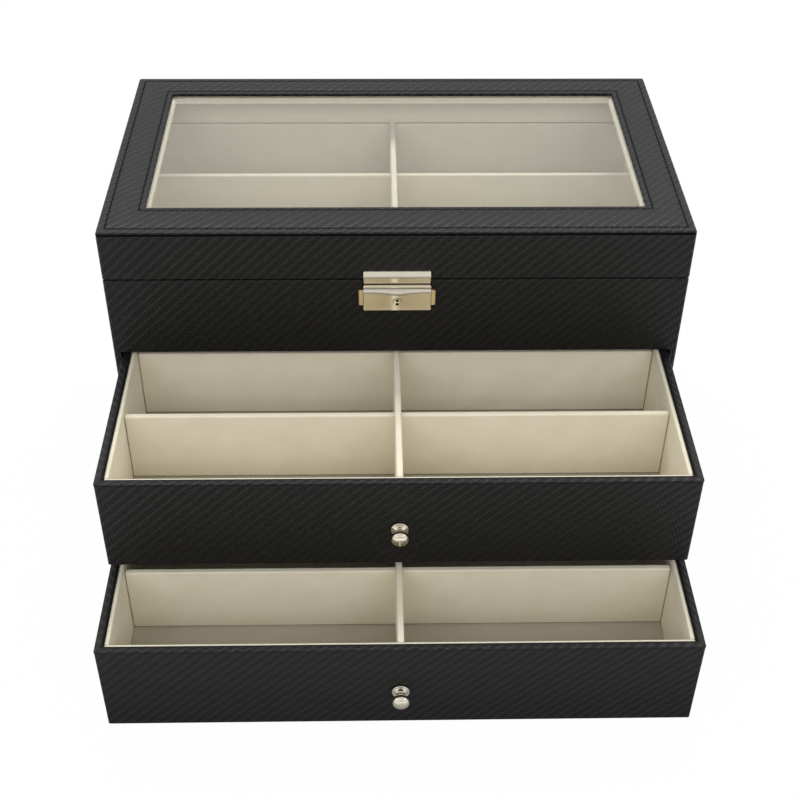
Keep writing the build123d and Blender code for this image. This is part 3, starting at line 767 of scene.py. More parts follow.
def bar_mesh(name, sections, ends, edge, anchor, lines):
    """Closed bar along x whose section (depth in front of the wall, height) may change along it.

    Sections is (stations, points, 2) for evenly spaced places between the ends. Towards each end the section
    closes in by edge * (1 - cos a) while x goes on by edge * sin a, and a last face shuts it.
    Returns the mesh, and for each point its depth, its height and the height of its station's line.
    """
    wall, middle = anchor
    turn = np.linspace(0, math.pi / 2, 5)[1:]
    centred = sections - (0.0, middle)
    reach = np.abs(centred).max((0, 1))
    shrink = 1 - edge * (1 - np.cos(turn))[:, None] / reach
    left = centred[:1] * shrink[::-1, None]
    right = centred[-1:] * shrink[:, None]
    section = np.concatenate([left, centred, right]) + (0.0, middle)
    x = np.linspace(ends[0] + edge, ends[1] - edge, len(sections))
    x = np.concatenate([x[0] - edge * np.sin(turn[::-1]), x, x[-1] + edge * np.sin(turn)])
    points = np.stack(np.broadcast_arrays(x[:, None], wall - section[..., 0], section[..., 1]), 2)
    rows, columns = points.shape[:2]
    outward = [face[:1] + face[:0:-1] for face in tube_faces(rows, columns)]
    lines = np.concatenate([np.repeat(lines[0], len(turn)), lines, np.repeat(lines[-1], len(turn))])
    lines = np.repeat(lines[:, None], columns, 1)
    return new_mesh(name, points, outward), (section[..., 0], section[..., 1], lines)


def lathe_mesh(name, profile, centre, sides=48, closed=False):
    """Turned shape about the y axis: radius and projection of the profile, carried round the centre.

    A closed profile makes a ring, and an open one is shut by a face at each end.
    """
    turn = np.arange(sides) * 2 * math.pi / sides
    radius, out = profile.T[..., None]
    points = np.stack(
        np.broadcast_arrays(
            centre[0] + radius * np.cos(turn), centre[1] - out, centre[2] + radius * np.sin(turn)
        ), 2,
    )
    return new_mesh(name, points, tube_faces(len(profile), sides, closed))


def add_piece(name, mesh, finish, body, replaced=(), smooth=40.0):
    """Finished piece: smooth up to an angle, riding on a body and standing for the frame's nodes."""
    piece = bpy.data.objects.new(name, mesh)
    bpy.context.scene.collection.objects.link(piece)
    mesh.materials.append(finish_of(finish))
    if not mesh.has_custom_normals:
        mesh.shade_smooth()
        mesh.set_sharp_from_angle(angle=math.radians(smooth))
    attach(piece, body)
    if replaced:
        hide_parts(*replaced)


def add_slabs(node, boxes, edge, body, finish="cream_velvet"):
    """Velvet boards that stand for a frame node."""
    add_piece(f"{node}_velvet", slab_mesh(node, boxes, edge), finish, body, [node])


def dress(finish, *nodes):
    """Give frame nodes a finish."""
    for node in nodes:
        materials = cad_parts[node].data.materials
        materials.clear()
        materials.append(finish_of(finish))


# Operators, one for each group of pieces


class BOX_OT_case_covering(Operator):
    """Leatherette over the case, with the two drawer bays left open"""

    bl_idname = "accessory_box.case_covering"
    bl_label = "Case covering"

    def execute(self, context):
        cover = context.scene.box_covering
        low, high = corner_box("case_wrap")
        shelf_low, shelf_high = corner_box("drawer_shelf")
        bay = shelf_high[0]
        levels = (corner_box("base_board")[1][2], shelf_low[2], shelf_high[2], corner_box("tray_deck")[0][2])
        rim, skin = high[0] - bay, cover.thickness
        outer = rounded_profile(
            [(0.0, low[2], 0.0), *((0.0, z, 0.0) for z in levels), (0.0, high[2], cover.edge),
             (rim, high[2], 0.0)]
        )
        inner = np.array(
            [(rim, high[2] - skin), (skin, high[2] - skin), *((skin, z) for z in levels[::-1]),
             (skin, low[2])]
        )
        stations = inset_stations(low, high, np.concatenate([outer, inner]), cover.corner)
        points, normals = ring_grid(stations, front_breaks=(-bay, bay))
        column = int(np.flatnonzero((normals[:, 1] == -1.0) & np.isclose(points[0, :, 0], -bay))[0])
        # The bays lie above the first and the third level, counted from both ends of the section
        holes = [(column, row, len(stations) - row - 2) for row in (1, 3)]
        mesh = skin_mesh("case_covering", points, around_uv(points), holes)
        add_piece("case_covering", mesh, "twill_leatherette", "case", ["case_wrap"])
        return {"FINISHED"}


def lid_window():
    """Low and high corner of the opening in the lid's border, from the glass up to the top.

    The glass runs under the border by the same lap on all sides.
    """
    low, high = corner_box("lid_glass")
    lap = 4.0 * MM
    top = corner_box("lid_top_cover")[1][2]
    return np.array([low[0] + lap, low[1] + lap, high[2]]), np.array([high[0] - lap, high[1] - lap, top])


def drawn_line(inset, level, sewn):
    """Corners of the groove that a sewn line draws into the border."""
    return [
        (inset - sewn.groove, level, sewn.groove / 2), (inset, level - sewn.depth, sewn.groove / 3),
        (inset + sewn.groove, level, sewn.groove / 2),
    ]


class BOX_OT_lid_covering(Operator):
    """Leatherette round the lid's rim and over its sewn border"""

    bl_idname = "accessory_box.lid_covering"
    bl_label = "Lid covering"

    def execute(self, context):
        cover, sewn = context.scene.box_covering, context.scene.box_stitch
        seam = corner_box("lid_rim_wrap")[1][2] - sewn.seam
        self.rim(cover, seam)
        self.border(cover, sewn, seam + sewn.seam)
        return {"FINISHED"}

    @staticmethod
    def rim(cover, seam):
        """Covering round the rim: a section folded in under the rails, up to the seam."""
        low, high = corner_box("lid_rim_wrap")
        fold = high[0] - corner_box("lid_side_rails")[1][0]
        skin = cover.thickness
        profile = rounded_profile(
            [(fold, low[2], 0.0), (0.0, low[2], cover.edge), (0.0, seam, skin / 2), (skin, seam, 0.0),
             (skin, low[2] + skin, 0.0), (fold, low[2] + skin, 0.0)]
        )
        points, _ = ring_grid(inset_stations(low, high, profile, cover.corner))
        mesh = skin_mesh("lid_rim_covering", points, around_uv(points))
        add_piece("lid_rim_covering", mesh, "twill_leatherette", "lid", ["lid_rim_wrap"])

    @staticmethod
    def border(cover, sewn, edge):
        """Border between edge and window, drawn in at its sewn lines.

        Between the lines it rises by crown * (1 - |2 s - 1|**3), with s from 0 to 1 across it.
        """
        fold, outer_edge, window_edge, window_corner = 0.3 * MM, 1.4 * MM, 1.0 * MM, 1.2 * MM
        low, high = corner_box("lid_top_cover")
        window_low, window_high = lid_window()
        skin = cover.thickness
        field = high[2] - sewn.crown
        under = field - skin
        outer = rounded_profile(
            [(skin, under, 0.0), (skin, edge, 0.0), (0.0, edge, fold), (0.0, field, outer_edge),
             *drawn_line(sewn.outer, field, sewn), (sewn.outer + 2 * sewn.groove, field, 0.0)]
        )
        inner = rounded_profile(
            [(-sewn.inner - 2 * sewn.groove, field, 0.0), *drawn_line(-sewn.inner, field, sewn),
             (0.0, field, window_edge), (0.0, window_low[2], 0.0), (-skin, window_low[2], 0.0),
             (-skin, under, 0.0)]
        )
        # Painted shade along the sewn lines: the grooves are marked to be darkened.
        crease_shade = [
            np.exp(-(((profile[:, 0] - line) / sewn.groove) ** 2))
            for profile, line in ((outer, sewn.outer), (inner, -sewn.inner))
        ]
        outer = inset_stations(low, high, outer, cover.corner)
        inner = inset_stations(window_low, window_high, inner, window_corner)
        share = np.linspace(0, 1, 15)[1:-1, None]
        crowned = outer[-1] * (1 - share) + inner[0] * share
        crowned[:, 5] = field + sewn.crown * (1 - np.abs(2 * share[:, 0] - 1) ** 3)
        points, normals = ring_grid(np.concatenate([outer, crowned, inner]))
        mesh = skin_mesh("lid_border", points, unrolled_uv(points, normals, field))
        crease_shade = np.concatenate([crease_shade[0], np.zeros(len(share)), crease_shade[1]])
        mark_crease_shade(mesh, np.repeat(crease_shade, points.shape[1]))
        add_piece("lid_border", mesh, "twill_leatherette", "lid", ["lid_top_cover"])


class BOX_OT_lid_stitches(Operator):
    """Black stitches in the two sewn lines of the lid's border"""

    bl_idname = "accessory_box.lid_stitches"
    bl_label = "Lid stitches"

    def execute(self, context):
        sewn = context.scene.box_stitch
        low, high = corner_box("lid_top_cover")
        window_low, window_high = lid_window()
        level = high[2] - sewn.crown - sewn.depth + 0.8 * sewn.radius
        lines = [
            (low[:2] + sewn.outer, high[:2] - sewn.outer),
            (window_low[:2] - sewn.inner, window_high[:2] + sewn.inner),
        ]
        shape, stitch_faces = self.stitch_shape(sewn)
        places, headings = [], []
        for first, last in lines:
            corners = np.array([first, (last[0], first[1]), last, (first[0], last[1])])
            for start, end in zip(corners, np.roll(corners, -1, 0)):
                length = np.linalg.norm(end - start)
                count = int(length // sewn.pitch)
                along = (np.arange(count) + 0.5) / count
                places.append(start + along[:, None] * (end - start))
                headings.append(np.tile((end - start) / length, (count, 1)))
        places, headings = np.concatenate(places)[:, None], np.concatenate(headings)[:, None]
        sideways = np.stack([-headings[..., 1], headings[..., 0]], 2)
        flat = places + shape[None, :, :1] * headings + shape[None, :, 1:2] * sideways
        height = np.broadcast_to(level + shape[:, 2], flat.shape[:2])
        offsets = np.arange(len(places))[:, None] * len(shape)
        faces = [face for one in stitch_faces for face in (offsets + np.array(one)[None]).tolist()]
        mesh = new_mesh("lid_stitches", np.concatenate([flat, height[..., None]], 2), faces)
        add_piece("lid_stitches", mesh, "black_thread", "lid")
        return {"FINISHED"}

    @staticmethod
    def stitch_shape(sewn):
        """One stitch along x: round sections of radius r * sqrt(1 - t**4), whose line dives at both ends."""
        t = np.linspace(-0.97, 0.97, 7)
        turn = np.arange(sewn.sides) * 2 * math.pi / sewn.sides
        radius = sewn.radius * np.sqrt(1 - t**4)
        x = np.repeat(t * sewn.length / 2, sewn.sides)
        y = (radius[:, None] * np.cos(turn)).ravel()
        z = (radius[:, None] * np.sin(turn) - 0.8 * sewn.radius * (t**4)[:, None]).ravel()
        return np.stack([x, y, z], 1), tube_faces(len(t), sewn.sides)


class BOX_OT_drawer_coverings(Operator):
    """Leatherette round each drawer, with a band folded over its rim"""

    bl_idname = "accessory_box.drawer_coverings"
    bl_label = "Drawer coverings"

    def execute(self, context):
        cover = context.scene.box_covering
        sunk, crease, hide, tuck = 0.2 * MM, 0.65 * MM, 0.05 * MM, 1.0 * MM
        rim_edge, tucked_edge = 0.6 * MM, 0.7 * MM
        for drawer in DRAWERS:
            low, high = corner_box(f"{drawer}_wrap")
            rim = high[0] - corner_box(f"{drawer}_bottom_board")[1][0]
            lining = corner_box(f"{drawer}_end_linings")[1][2]
            band, skin = high[2] - cover.band, cover.thickness
            profile = rounded_profile(
                [(sunk, low[2], 0.0), (sunk, band - 0.5 * MM, 0.1 * MM), (crease, band - 0.2 * MM, 0.0),
                 (0.0, band + 0.1 * MM, 0.15 * MM), (0.0, high[2], rim_edge),
                 (rim + hide - 2 * tuck, high[2], 0.0), (rim + hide, high[2], tucked_edge),
                 (rim + hide, lining + hide, 0.0), (rim - skin, lining + hide, 0.0),
                 (rim - skin, high[2] - skin, 0.0), (skin, high[2] - skin, 0.0), (skin, low[2], 0.0)],
                support=0.1 * MM,
            )
            points, _ = ring_grid(inset_stations(low, high, profile, cover.corner))
            name = f"{drawer}_covering"
            mesh = skin_mesh(name, points, around_uv(points))
            # Painted shade in the crease under the band and in the gap where the covering tucks down beside
            # the lining.
            tuck_shade = np.exp(-(((rim + hide - profile[:, 0]) / tuck) ** 2)) * (profile[:, 1] > high[2] - tuck)
            crease_shade = np.maximum(np.isclose(profile[:, 0], crease), tuck_shade)
            mark_crease_shade(mesh, np.repeat(crease_shade, points.shape[1]))
            add_piece(name, mesh, "twill_leatherette", drawer, [f"{drawer}_wrap"])
        return {"FINISHED"}


def wall_linings(prefix, floor_node):
    """Boxes of the two end linings and the two side linings round a floor lining."""
    floor_low, floor_high = corner_box(floor_node)
    boxes = []
    for node, axis in ((f"{prefix}_end_linings", 0), (f"{prefix}_side_linings", 1)):
        low, high = corner_box(node)
        near_high, far_low = high.copy(), low.copy()
        near_high[axis], far_low[axis] = floor_low[axis], floor_high[axis]
        boxes.append((node, [(low, near_high), (far_low, high)]))
    return boxes


class BOX_OT_linings(Operator):
    """Velvet boards that line the tray, the drawers and the lid"""

    bl_idname = "accessory_box.linings"
    bl_label = "Linings"

    def execute(self, context):
        lining = context.scene.box_lining
        rooms = [("tray", "tray_floor_lining", "case"), ("lid", "tray_floor_lining", "lid")]
        rooms += [(drawer, f"{drawer}_floor_lining", drawer) for drawer in DRAWERS]
        for prefix, floor_node, body in rooms:
            for node, boxes in wall_linings(prefix, floor_node):
                add_slabs(node, boxes, lining.edge, body)
            if prefix != "lid":
                # The floors take the darker velvet, whose tone is painted shade.
                add_slabs(floor_node, [corner_box(floor_node)], lining.floor_edge, body, "shaded_floor_velvet")
        self.inner_frame(lining)
        return {"FINISHED"}

    @staticmethod
    def inner_frame(lining):
        """Velvet frame under the glass: a closed section carried round the window."""
        low, high = corner_box("lid_inner_frame")
        window_low, window_high = lid_window()
        glass_low, glass_high = corner_box("lid_glass")
        gap = 0.3 * MM
        beside = glass_high[0] - window_high[0] + gap
        inside = rounded_profile(
            [(-beside, high[2], 0.0), (-beside, glass_low[2], 0.0),
             (lining.ledge, glass_low[2], lining.edge), (lining.ledge, low[2], lining.edge),
             (-beside, low[2], 0.0)]
        )
        outside = np.array([[0.0, low[2]], [0.0, high[2]]])
        stations = np.concatenate(
            [inset_stations(low, high, outside, LEAST_RADIUS),
             inset_stations(window_low, window_high, inside, LEAST_RADIUS)]
        )
        points, _ = ring_grid(stations)
        mesh = skin_mesh("lid_inner_frame", points, around_uv(points))
        add_piece("lid_inner_frame_velvet", mesh, "cream_velvet", "lid", ["lid_inner_frame"])


class BOX_OT_dividers(Operator):
    """Velvet dividers of the tray and the drawers"""

    bl_idname = "accessory_box.dividers"
    bl_label = "Dividers"

    def execute(self, context):
        lining = context.scene.box_lining
        lift = np.array([0.0, 0.0, lining.floor_gap])
        for prefix, body in (("tray", "case"), *((drawer, drawer) for drawer in DRAWERS)):
            node = f"{prefix}_centre_divider"
            low, high = corner_box(node)
            thickness = high[0] - low[0]
            add_slabs(node, [(low + lift, high)], lining.edge, body)
            node = f"{prefix}_cross_dividers"
            low, high = corner_box(node)
            near, far = high.copy(), low.copy()
            near[1], far[1] = low[1] + thickness, high[1] - thickness
            add_slabs(node, [(low + lift, near), (far + lift, high)], lining.edge, body)
        return {"FINISHED"}


class BOX_OT_glass(Operator):
    """Glass pane with ground edges"""

    bl_idname = "accessory_box.glass"
    bl_label = "Glass"

    def execute(self, context):
        ground = 0.3 * MM
        mesh = slab_mesh("glass_pane", [corner_box("lid_glass")], ground)
        add_piece("glass_pane", mesh, "clear_pane", "lid", ["lid_glass"])
        return {"FINISHED"}


def pressed_line_shade(across, along):
    """Painted shade of a line pressed into metal: exp(-(distance / width)**2), next to nothing from 0.7 mm on.
    """
    width = 0.35 * MM
    return np.exp(-(np.hypot(across, along) / width) ** 2)


class BOX_OT_latch(Operator):
    """Pressed lock cover and hasp with rounded shoulders, and the key's face"""

    bl_idname = "accessory_box.latch"
    bl_label = "Latch"

    def execute(self, context):
        wall = corner_box("case_wrap")[0][1]
        self.lock_cover(wall)
        self.hasp_cover(wall)
        self.key_holes()
        return {"FINISHED"}

    @staticmethod
    def lock_cover(wall):
        """Lock cover: a flat top with a rolled lip, a crown that slopes down to a border, and a flat front.

        The border dips at the middle by dip * exp(-(x / dip_spread)**2), with x from -1 to 1 along it.
        """
        low, high = corner_box("lock_body")
        depth, top, bottom = high[1] - low[1], high[2], low[2]
        drop, dip, dip_spread, end_edge = 3.0 * MM, 1.6 * MM, 0.42, 0.7 * MM
        bend, crease, foot, hollow, crown = 0.5 * MM, 0.1 * MM, 0.4 * MM, 0.12 * MM, 0.8 * MM
        lip, groove = 0.68 * depth, top - 1.7 * MM
        groove_back, groove_front = lip + 0.2 * MM, lip + 0.5 * MM
        run = depth - lip - 0.5 * MM
        across = np.linspace(-1, 1, 33)
        borders = top - drop - dip * np.exp(-((across / dip_spread) ** 2))
        sections = np.array([
            rounded_profile(
                [(0.0, bottom, 0.0), (depth - foot, bottom, foot), (depth, bottom + 0.7 * MM, 0.3 * MM),
                 (depth - hollow, bottom + 1.9 * MM, 0.3 * MM), (depth, border - 0.9 * MM, 0.0),
                 (depth, border, bend), (depth - crown, border + crown * (groove - border) / run, 0.0),
                 (groove_front, groove, crease), (groove_back, groove, crease),
                 (lip, top - 1.4 * MM, crease), (lip, top - 0.3 * MM, bend), (0.0, top, 0.0)],
                steps=4, support=0.05 * MM,
            ) for border in borders
        ])
        middle = (top + bottom) / 2
        mesh, (out, height, border) = bar_mesh(
            "lock_cover", sections, (low[0], high[0]), end_edge, (wall, middle), borders
        )
        # Painted shade: the pressed lines, and the top behind the lip where the hasp shades it, are marked to
        # be darkened.
        line = 0.8 * pressed_line_shade(out - depth, height - border)
        sunk = pressed_line_shade(out - groove_back, height - groove)
        shaded = (out < lip - 0.6 * MM) & (height > middle)
        mark_crease_shade(mesh, np.maximum.reduce([line, sunk, 0.7 * shaded]))
        add_piece("lock_cover", mesh, "plating", "case", ["lock_body"], smooth=60.0)

    @staticmethod
    def hasp_cover(wall):
        """Hasp: a sloping top over an upright front, with a pressed line between them."""
        low, high = corner_box("hasp")
        top, bottom = high[2] + 0.3 * MM, corner_box("lid_rim_wrap")[0][2] - 0.8 * MM
        depth, run, slope, end_edge, stations = 3.4 * MM, 2.9 * MM, 0.78, 0.8 * MM, 9
        shoulder = top - 0.2 * MM - slope * run
        section = rounded_profile(
            [(0.0, bottom, 0.0), (depth - 0.2 * MM, bottom, 0.4 * MM), (depth, shoulder - 0.9 * MM, 0.0),
             (depth, shoulder, 0.5 * MM), (depth - 0.9 * MM, shoulder + slope * 0.9 * MM, 0.0),
             (depth - run, top - 0.2 * MM, 0.3 * MM), (0.0, top, 0.0)], steps=6, support=0.05 * MM,
        )
        mesh, (out, height, line) = bar_mesh(
            "hasp_cover", np.repeat(section[None], stations, 0), (low[0], high[0]), end_edge,
            (wall, (top + bottom) / 2), np.full(stations, shoulder),
        )
        # Painted shade along the pressed line between top and front.
        mark_crease_shade(mesh, 0.8 * pressed_line_shade(out - depth, height - line))
        add_piece("hasp_cover", mesh, "plating", "lid", ["hasp"], smooth=60.0)

    @staticmethod
    def key_holes():
        """Plated face of the key cylinder, with painted shade in its two pin holes and in the gap round it:
        near-black discs and a ring.

        The profiles of the holes and the gap are radius and projection in millimetres.
        """
        low, high = corner_box("key_cylinder")
        clearance, sunk, proud, pin_offset = 0.15 * MM, -0.3 * MM, 0.04 * MM, 1.25 * MM
        radius = (high[0] - low[0]) / 2 - clearance
        middle = high[2] - radius - clearance
        face = rounded_profile(
            [(0.3 * radius, sunk, 0.0), (radius, sunk, 0.0), (radius, proud, 0.15 * MM),
             (0.02 * MM, proud, 0.0)]
        )
        mesh = lathe_mesh("key_face", face, (0.0, low[1], middle))
        add_piece("key_face", mesh, "plating", "key")
        hole = np.array([(0.3, -0.2), (0.92, -0.2), (0.92, 0.06), (0.02, 0.06)]) * MM
        for name, offset in (("key_upper_hole", pin_offset), ("key_lower_hole", -pin_offset)):
            mesh = lathe_mesh(name, hole, (0.0, low[1], middle + offset), sides=24)
            add_piece(name, mesh, "recess_shade", "key")
        front = corner_box("lock_body")[0][1]
        gap = np.array([(0.0, -0.6), (0.25, -0.6), (0.22, 0.05), (0.0, 0.05)]) * MM
        mesh = lathe_mesh("key_gap", gap + (radius + 0.1 * MM, 0.0), (0.0, front, middle), closed=True)
        add_piece("key_gap", mesh, "recess_shade", "case")


class BOX_OT_knobs(Operator):
    """Turned knobs on dished rosettes

    The head is a superellipse: head * radius * sin(t)**p across, and reach * length * cos(t)**p along.
    """

    bl_idname = "accessory_box.knobs"
    bl_label = "Knobs"

    def execute(self, context):
        head, reach, middle, power = 0.98, 0.28, 0.68, 0.85
        turn = np.linspace(0.15, 0.998, 28) * math.pi
        for drawer in DRAWERS:
            low, high = corner_box(f"{drawer}_knob")
            radius, length = (high[0] - low[0]) / 2, high[1] - low[1]
            foot = rounded_profile(
                [(r * radius, out * length, corner * MM) for r, out, corner in KNOB_FOOT], support=0.04 * MM
            )
            along = np.sign(np.cos(turn)) * np.abs(np.cos(turn)) ** power
            ball = np.stack([head * radius * np.sin(turn) ** power, length * (middle - reach * along)], 1)
            name = f"{drawer}_turned_knob"
            centre = ((low[0] + high[0]) / 2, high[1], (low[2] + high[2]) / 2)
            mesh = lathe_mesh(name, np.concatenate([foot, ball]), centre)
            add_piece(name, mesh, "plating", drawer, [f"{drawer}_knob"])
        return {"FINISHED"}


class BOX_OT_springs(Operator):
    """Coil springs inside the lock"""

    bl_idname = "accessory_box.springs"
    bl_label = "Springs"

    def execute(self, context):
        for side in ("left", "right"):
            node = f"{side}_release_spring"
            low, high = corner_box(node)
            mesh = self.coil_mesh(f"{side}_release_coil", low, high, context.scene.box_metal)
            mesh.materials.append(finish_of("satin_plating"))
            mesh.shade_smooth()
            coil = bpy.data.objects.new(mesh.name, mesh)
            context.scene.collection.objects.link(coil)
            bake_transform(coil)
            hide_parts(node)
        return {"FINISHED"}

    @staticmethod
    def coil_mesh(name, low, high, metal, sides=8, steps=24):
        """Round wire along (x0 + rise * a, r cos a, r sin a), with a circle of the wire square to it.

        The circle is spanned by the line's normal n = (0, cos a, sin a) and t x n, with t its tangent.
        """
        wire = metal.spring_wire / 2
        radius = (high[1] - low[1]) / 2 - wire
        angle = np.linspace(0, 2 * math.pi * metal.spring_turns, steps * metal.spring_turns + 1)
        rise = (high[0] - low[0] - 2 * wire) / angle[-1]
        still = np.zeros_like(angle)
        normal = np.stack([still, np.cos(angle), np.sin(angle)], 1)
        tangent = np.stack([still + rise, -radius * np.sin(angle), radius * np.cos(angle)], 1)
        other = np.cross(tangent / np.linalg.norm(tangent, axis=1)[:, None], normal)
        line = np.stack([low[0] + wire + rise * angle, still, still], 1) + radius * normal
        line[:, 1:] += (low[1:] + high[1:]) / 2
        turn = np.arange(sides) * 2 * math.pi / sides
        circle = np.cos(turn)[:, None] * normal[:, None] + np.sin(turn)[:, None] * other[:, None]
        return new_mesh(name, line[:, None] + wire * circle, tube_faces(len(line), sides))


class BOX_OT_metalwork(Operator):
    """Finish of the tabs, key cylinder, hinges and screws"""

    bl_idname = "accessory_box.metalwork"
    bl_label = "Metalwork"

    def execute(self, context):
        dress("plating", "key_cylinder")
        dress("gilt_plating", "left_release_tab", "right_release_tab")
        dress(
            "satin_plating", "hinge_case_leaves", "hinge_lid_leaves", "hinge_pins", "hinge_case_screws",
            "hinge_lid_screws", "lock_screws", "hasp_screws",
            *(f"{drawer}_knob_screw" for drawer in DRAWERS),
        )
        return {"FINISHED"}


class BOX_OT_boards(Operator):
    """Black paper on the boards inside the bays and under the drawers, and felt under the base"""

    bl_idname = "accessory_box.boards"
    bl_label = "Boards"

    def execute(self, context):
        sides = ("front_board", "back_board", "side_boards", "bottom_board")
        dress(
            "bay_paper", "base_board", "side_boards", "back_board", "drawer_shelf", "tray_deck",
            "fascia_board", "lid_end_rails", "lid_side_rails", "lid_top_frame",
            *(f"{drawer}_{side}" for drawer in DRAWERS for side in sides),
        )
        dress("base_felt", "base_felt")
        return {"FINISHED"}


class BOX_OT_stage(Operator):
    """Camera at the photograph's place, pale floor and soft light"""

    bl_idname = "accessory_box.stage"
    bl_label = "Stage"

    def execute(self, context):
        scene, stage = context.scene, context.scene.box_stage
        front_place, front_size = (0.0, -1.4, 1.25), (2.4, 0.7)
        top_place, top_size = (0.0, 0.7, 1.52), (1.8, 0.5)
        scene.view_settings.view_transform = "Standard"
        self.add_camera(scene, stage)
        self.add_floor(scene)
        self.add_world(scene, stage)
        self.add_softbox(scene, "front_light", front_place, front_size, stage.front, False)
        self.add_softbox(scene, "top_light", top_place, top_size, stage.above, True)
        return {"FINISHED"}

    @staticmethod
    def add_camera(scene, stage):
        """Camera turned by yaw to the right, pitch down and roll about its own view line."""
        pitch, yaw, roll = (math.radians(a) for a in (stage.pitch, stage.yaw, stage.roll))
        view = Vector((math.sin(yaw) * math.cos(pitch), math.cos(yaw) * math.cos(pitch), -math.sin(pitch)))
        right = Vector((math.cos(yaw), -math.sin(yaw), 0.0))
        up = right.cross(view)
        right, up = (
            math.cos(roll) * right + math.sin(roll) * up,
            math.cos(roll) * up - math.sin(roll) * right,
        )
        data = bpy.data.cameras.new("camera")
        data.sensor_width = 36.0
        data.sensor_fit = "HORIZONTAL"
        data.lens = stage.lens
        camera = bpy.data.objects.new("camera", data)
        axes = Matrix((right, up, -view)).transposed()
        camera.matrix_world = Matrix.Translation(stage.camera) @ axes.to_4x4()
        scene.collection.objects.link(camera)
        scene.camera = camera

    @staticmethod
    def add_floor(scene):
        """White floor that keeps a soft shadow; where it is mirrored, a painted shade darkens its glow close
        to the box.

        A point's distance from the box is the larger of |x - middle| - half width and the same along y.
        """
        reach, fade, dimmest, eye_share = 6.0, (-0.06, 0.14), 0.1, 0.98
        corners = [(-reach, -reach, 0), (reach, -reach, 0), (reach, reach, 0), (-reach, reach, 0)]
        mesh = new_mesh("floor", corners, [(0, 1, 2, 3)])
        floor = bpy.data.objects.new("floor", mesh)
        scene.collection.objects.link(floor)
        material, tree, shader = new_material("floor")
        feed(tree, shader, {"Base Color": grey(0.82), "Roughness": 0.9})
        place = add_node(tree, "SeparateXYZ", {0: add_node(tree, "NewGeometry").outputs["Position"]}).outputs
        beside = []
        for axis, low, high in zip("XY", *CAD_BOX):
            off = math_node(tree, "ABSOLUTE", math_node(tree, "SUBTRACT", place[axis], (low + high) / 2))
            beside.append(math_node(tree, "SUBTRACT", off, (high - low) / 2))
        # Painted shade: the glow that glossy rays see is dimmed close to the box.
        mirrored = soft_step(tree, math_node(tree, "MAXIMUM", *beside), fade, (dimmest, 1.0))
        rays = add_node(tree, "LightPath").outputs
        mirror_shade = math_node(tree, "SUBTRACT", mirrored, 1.0)
        strength = math_node(tree, "MULTIPLY_ADD", rays["Is Glossy Ray"], mirror_shade, 1.0)
        glow = add_node(tree, "Emission", {"Strength": strength})
        seen = math_node(tree, "MULTIPLY_ADD", eye_rays(tree, rays), eye_share, rays["Is Glossy Ray"])
        show_mix(tree, seen, shader.outputs["BSDF"], glow.outputs["Emission"])
        mesh.materials.append(material)

    @staticmethod
    def add_world(scene, stage):
        """Light tent, brightest in a ring that is lower at the front: its axis leans by z - tilt * y.

        The background is white to the eye, and the ceiling nearly so where it is mirrored.
        """
        wall, roof, mirrored_shares = (0.15, 0.60), (0.62, 0.86), (0.4, 0.95)
        world = bpy.data.worlds.new("studio")
        scene.world = world
        world.use_nodes = True
        tree = world.node_tree
        tree.nodes.clear()
        heading = add_node(tree, "SeparateXYZ", {0: add_node(tree, "TexCoord").outputs["Generated"]}).outputs
        leaning = math_node(tree, "MULTIPLY_ADD", heading["Y"], -stage.tilt, heading["Z"])
        rise = soft_step(tree, leaning, wall, (stage.horizon, stage.ring))
        fall = soft_step(tree, leaning, roof, (0.0, stage.ceiling - stage.ring))
        aside = math_node(tree, "ABSOLUTE", heading["X"])
        sides = math_node(tree, "MULTIPLY_ADD", aside, stage.sides, 1.0)
        lift = math_node(tree, "MULTIPLY_ADD", heading["Y"], stage.behind, sides)
        strength = math_node(tree, "MULTIPLY", math_node(tree, "ADD", rise, fall), lift)
        light = add_node(tree, "Background", {"Strength": strength})
        pale = add_node(tree, "Background")
        white = add_node(tree, "Background", {"Color": grey(1.0)})
        rays = add_node(tree, "LightPath").outputs
        whiter = soft_step(tree, leaning, roof, mirrored_shares)
        mirrored = math_node(tree, "MULTIPLY", rays["Is Glossy Ray"], whiter)
        shown = light.outputs["Background"]
        for share, other in ((mirrored, pale), (eye_rays(tree, rays), white)):
            shown = mix_shaders(tree, share, shown, other.outputs["Background"])
        add_node(tree, "OutputWorld", {"Surface": shown})

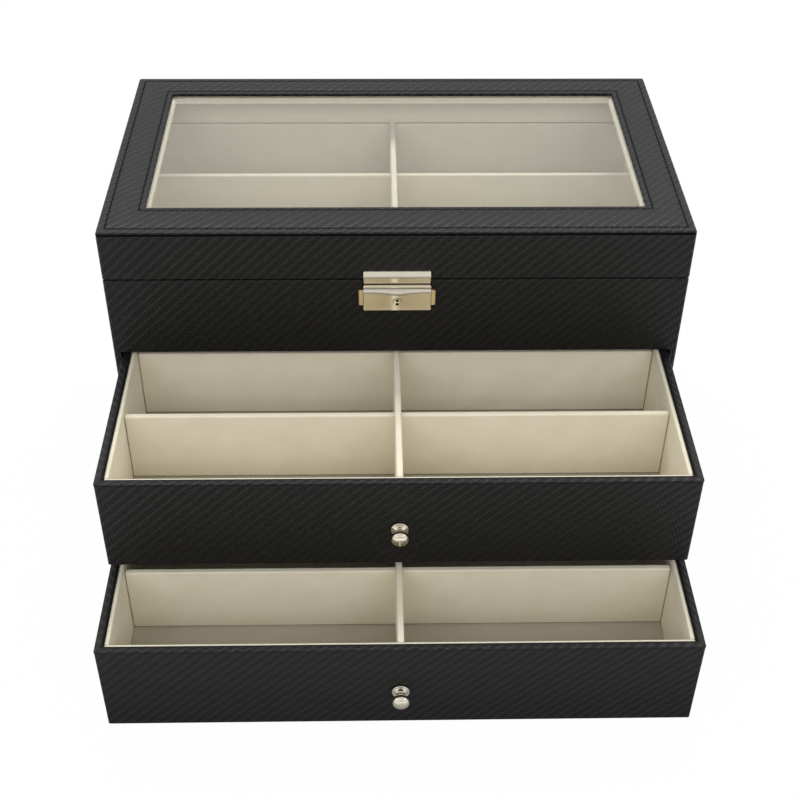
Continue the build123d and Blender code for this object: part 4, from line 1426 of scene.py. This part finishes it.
    @staticmethod
    def add_softbox(scene, name, place, size, power, mirrored):
        """Rectangular lamp aimed at the middle of the box, which glossy pieces mirror or not."""
        data = bpy.data.lights.new(name, "AREA")
        data.shape = "RECTANGLE"
        data.size, data.size_y = size
        data.energy = power
        lamp = bpy.data.objects.new(name, data)
        lamp.visible_glossy = mirrored
        aim = Vector((0.0, -0.05, 0.1)) - Vector(place)
        lamp.matrix_world = Matrix.Translation(place) @ aim.to_track_quat("-Z", "Y").to_matrix().to_4x4()
        scene.collection.objects.link(lamp)


class BOX_PT_panel(Panel):
    """Buttons for the groups of pieces"""

    bl_idname = "BOX_PT_panel"
    bl_label = "Accessory box"
    bl_space_type = "VIEW_3D"
    bl_region_type = "UI"
    bl_category = "Accessory box"

    def draw(self, context):
        for operator in OPERATORS:
            self.layout.operator(operator.bl_idname)


SETTINGS = {
    "box_covering": CoveringSettings,
    "box_lining": LiningSettings,
    "box_metal": MetalSettings,
    "box_stitch": StitchSettings,
    "box_stage": StageSettings,
}
OPERATORS = (
    BOX_OT_case_covering, BOX_OT_lid_covering, BOX_OT_lid_stitches, BOX_OT_drawer_coverings, BOX_OT_linings,
    BOX_OT_dividers, BOX_OT_glass, BOX_OT_latch, BOX_OT_knobs, BOX_OT_springs, BOX_OT_metalwork,
    BOX_OT_boards, BOX_OT_stage,
)


def register():
    for group in SETTINGS.values():
        bpy.utils.register_class(group)
    for name, group in SETTINGS.items():
        setattr(bpy.types.Scene, name, PointerProperty(type=group))
    for operator in OPERATORS:
        bpy.utils.register_class(operator)
    bpy.utils.register_class(BOX_PT_panel)


def unregister():
    bpy.utils.unregister_class(BOX_PT_panel)
    for operator in reversed(OPERATORS):
        bpy.utils.unregister_class(operator)
    for name, group in SETTINGS.items():
        delattr(bpy.types.Scene, name)
        bpy.utils.unregister_class(group)


def main():
    """Register the classes and make every group of pieces in order."""
    register()
    for operator in OPERATORS:
        group, name = operator.bl_idname.split(".")
        getattr(getattr(bpy.ops, group), name)()


if __name__ == "__main__":
    main()
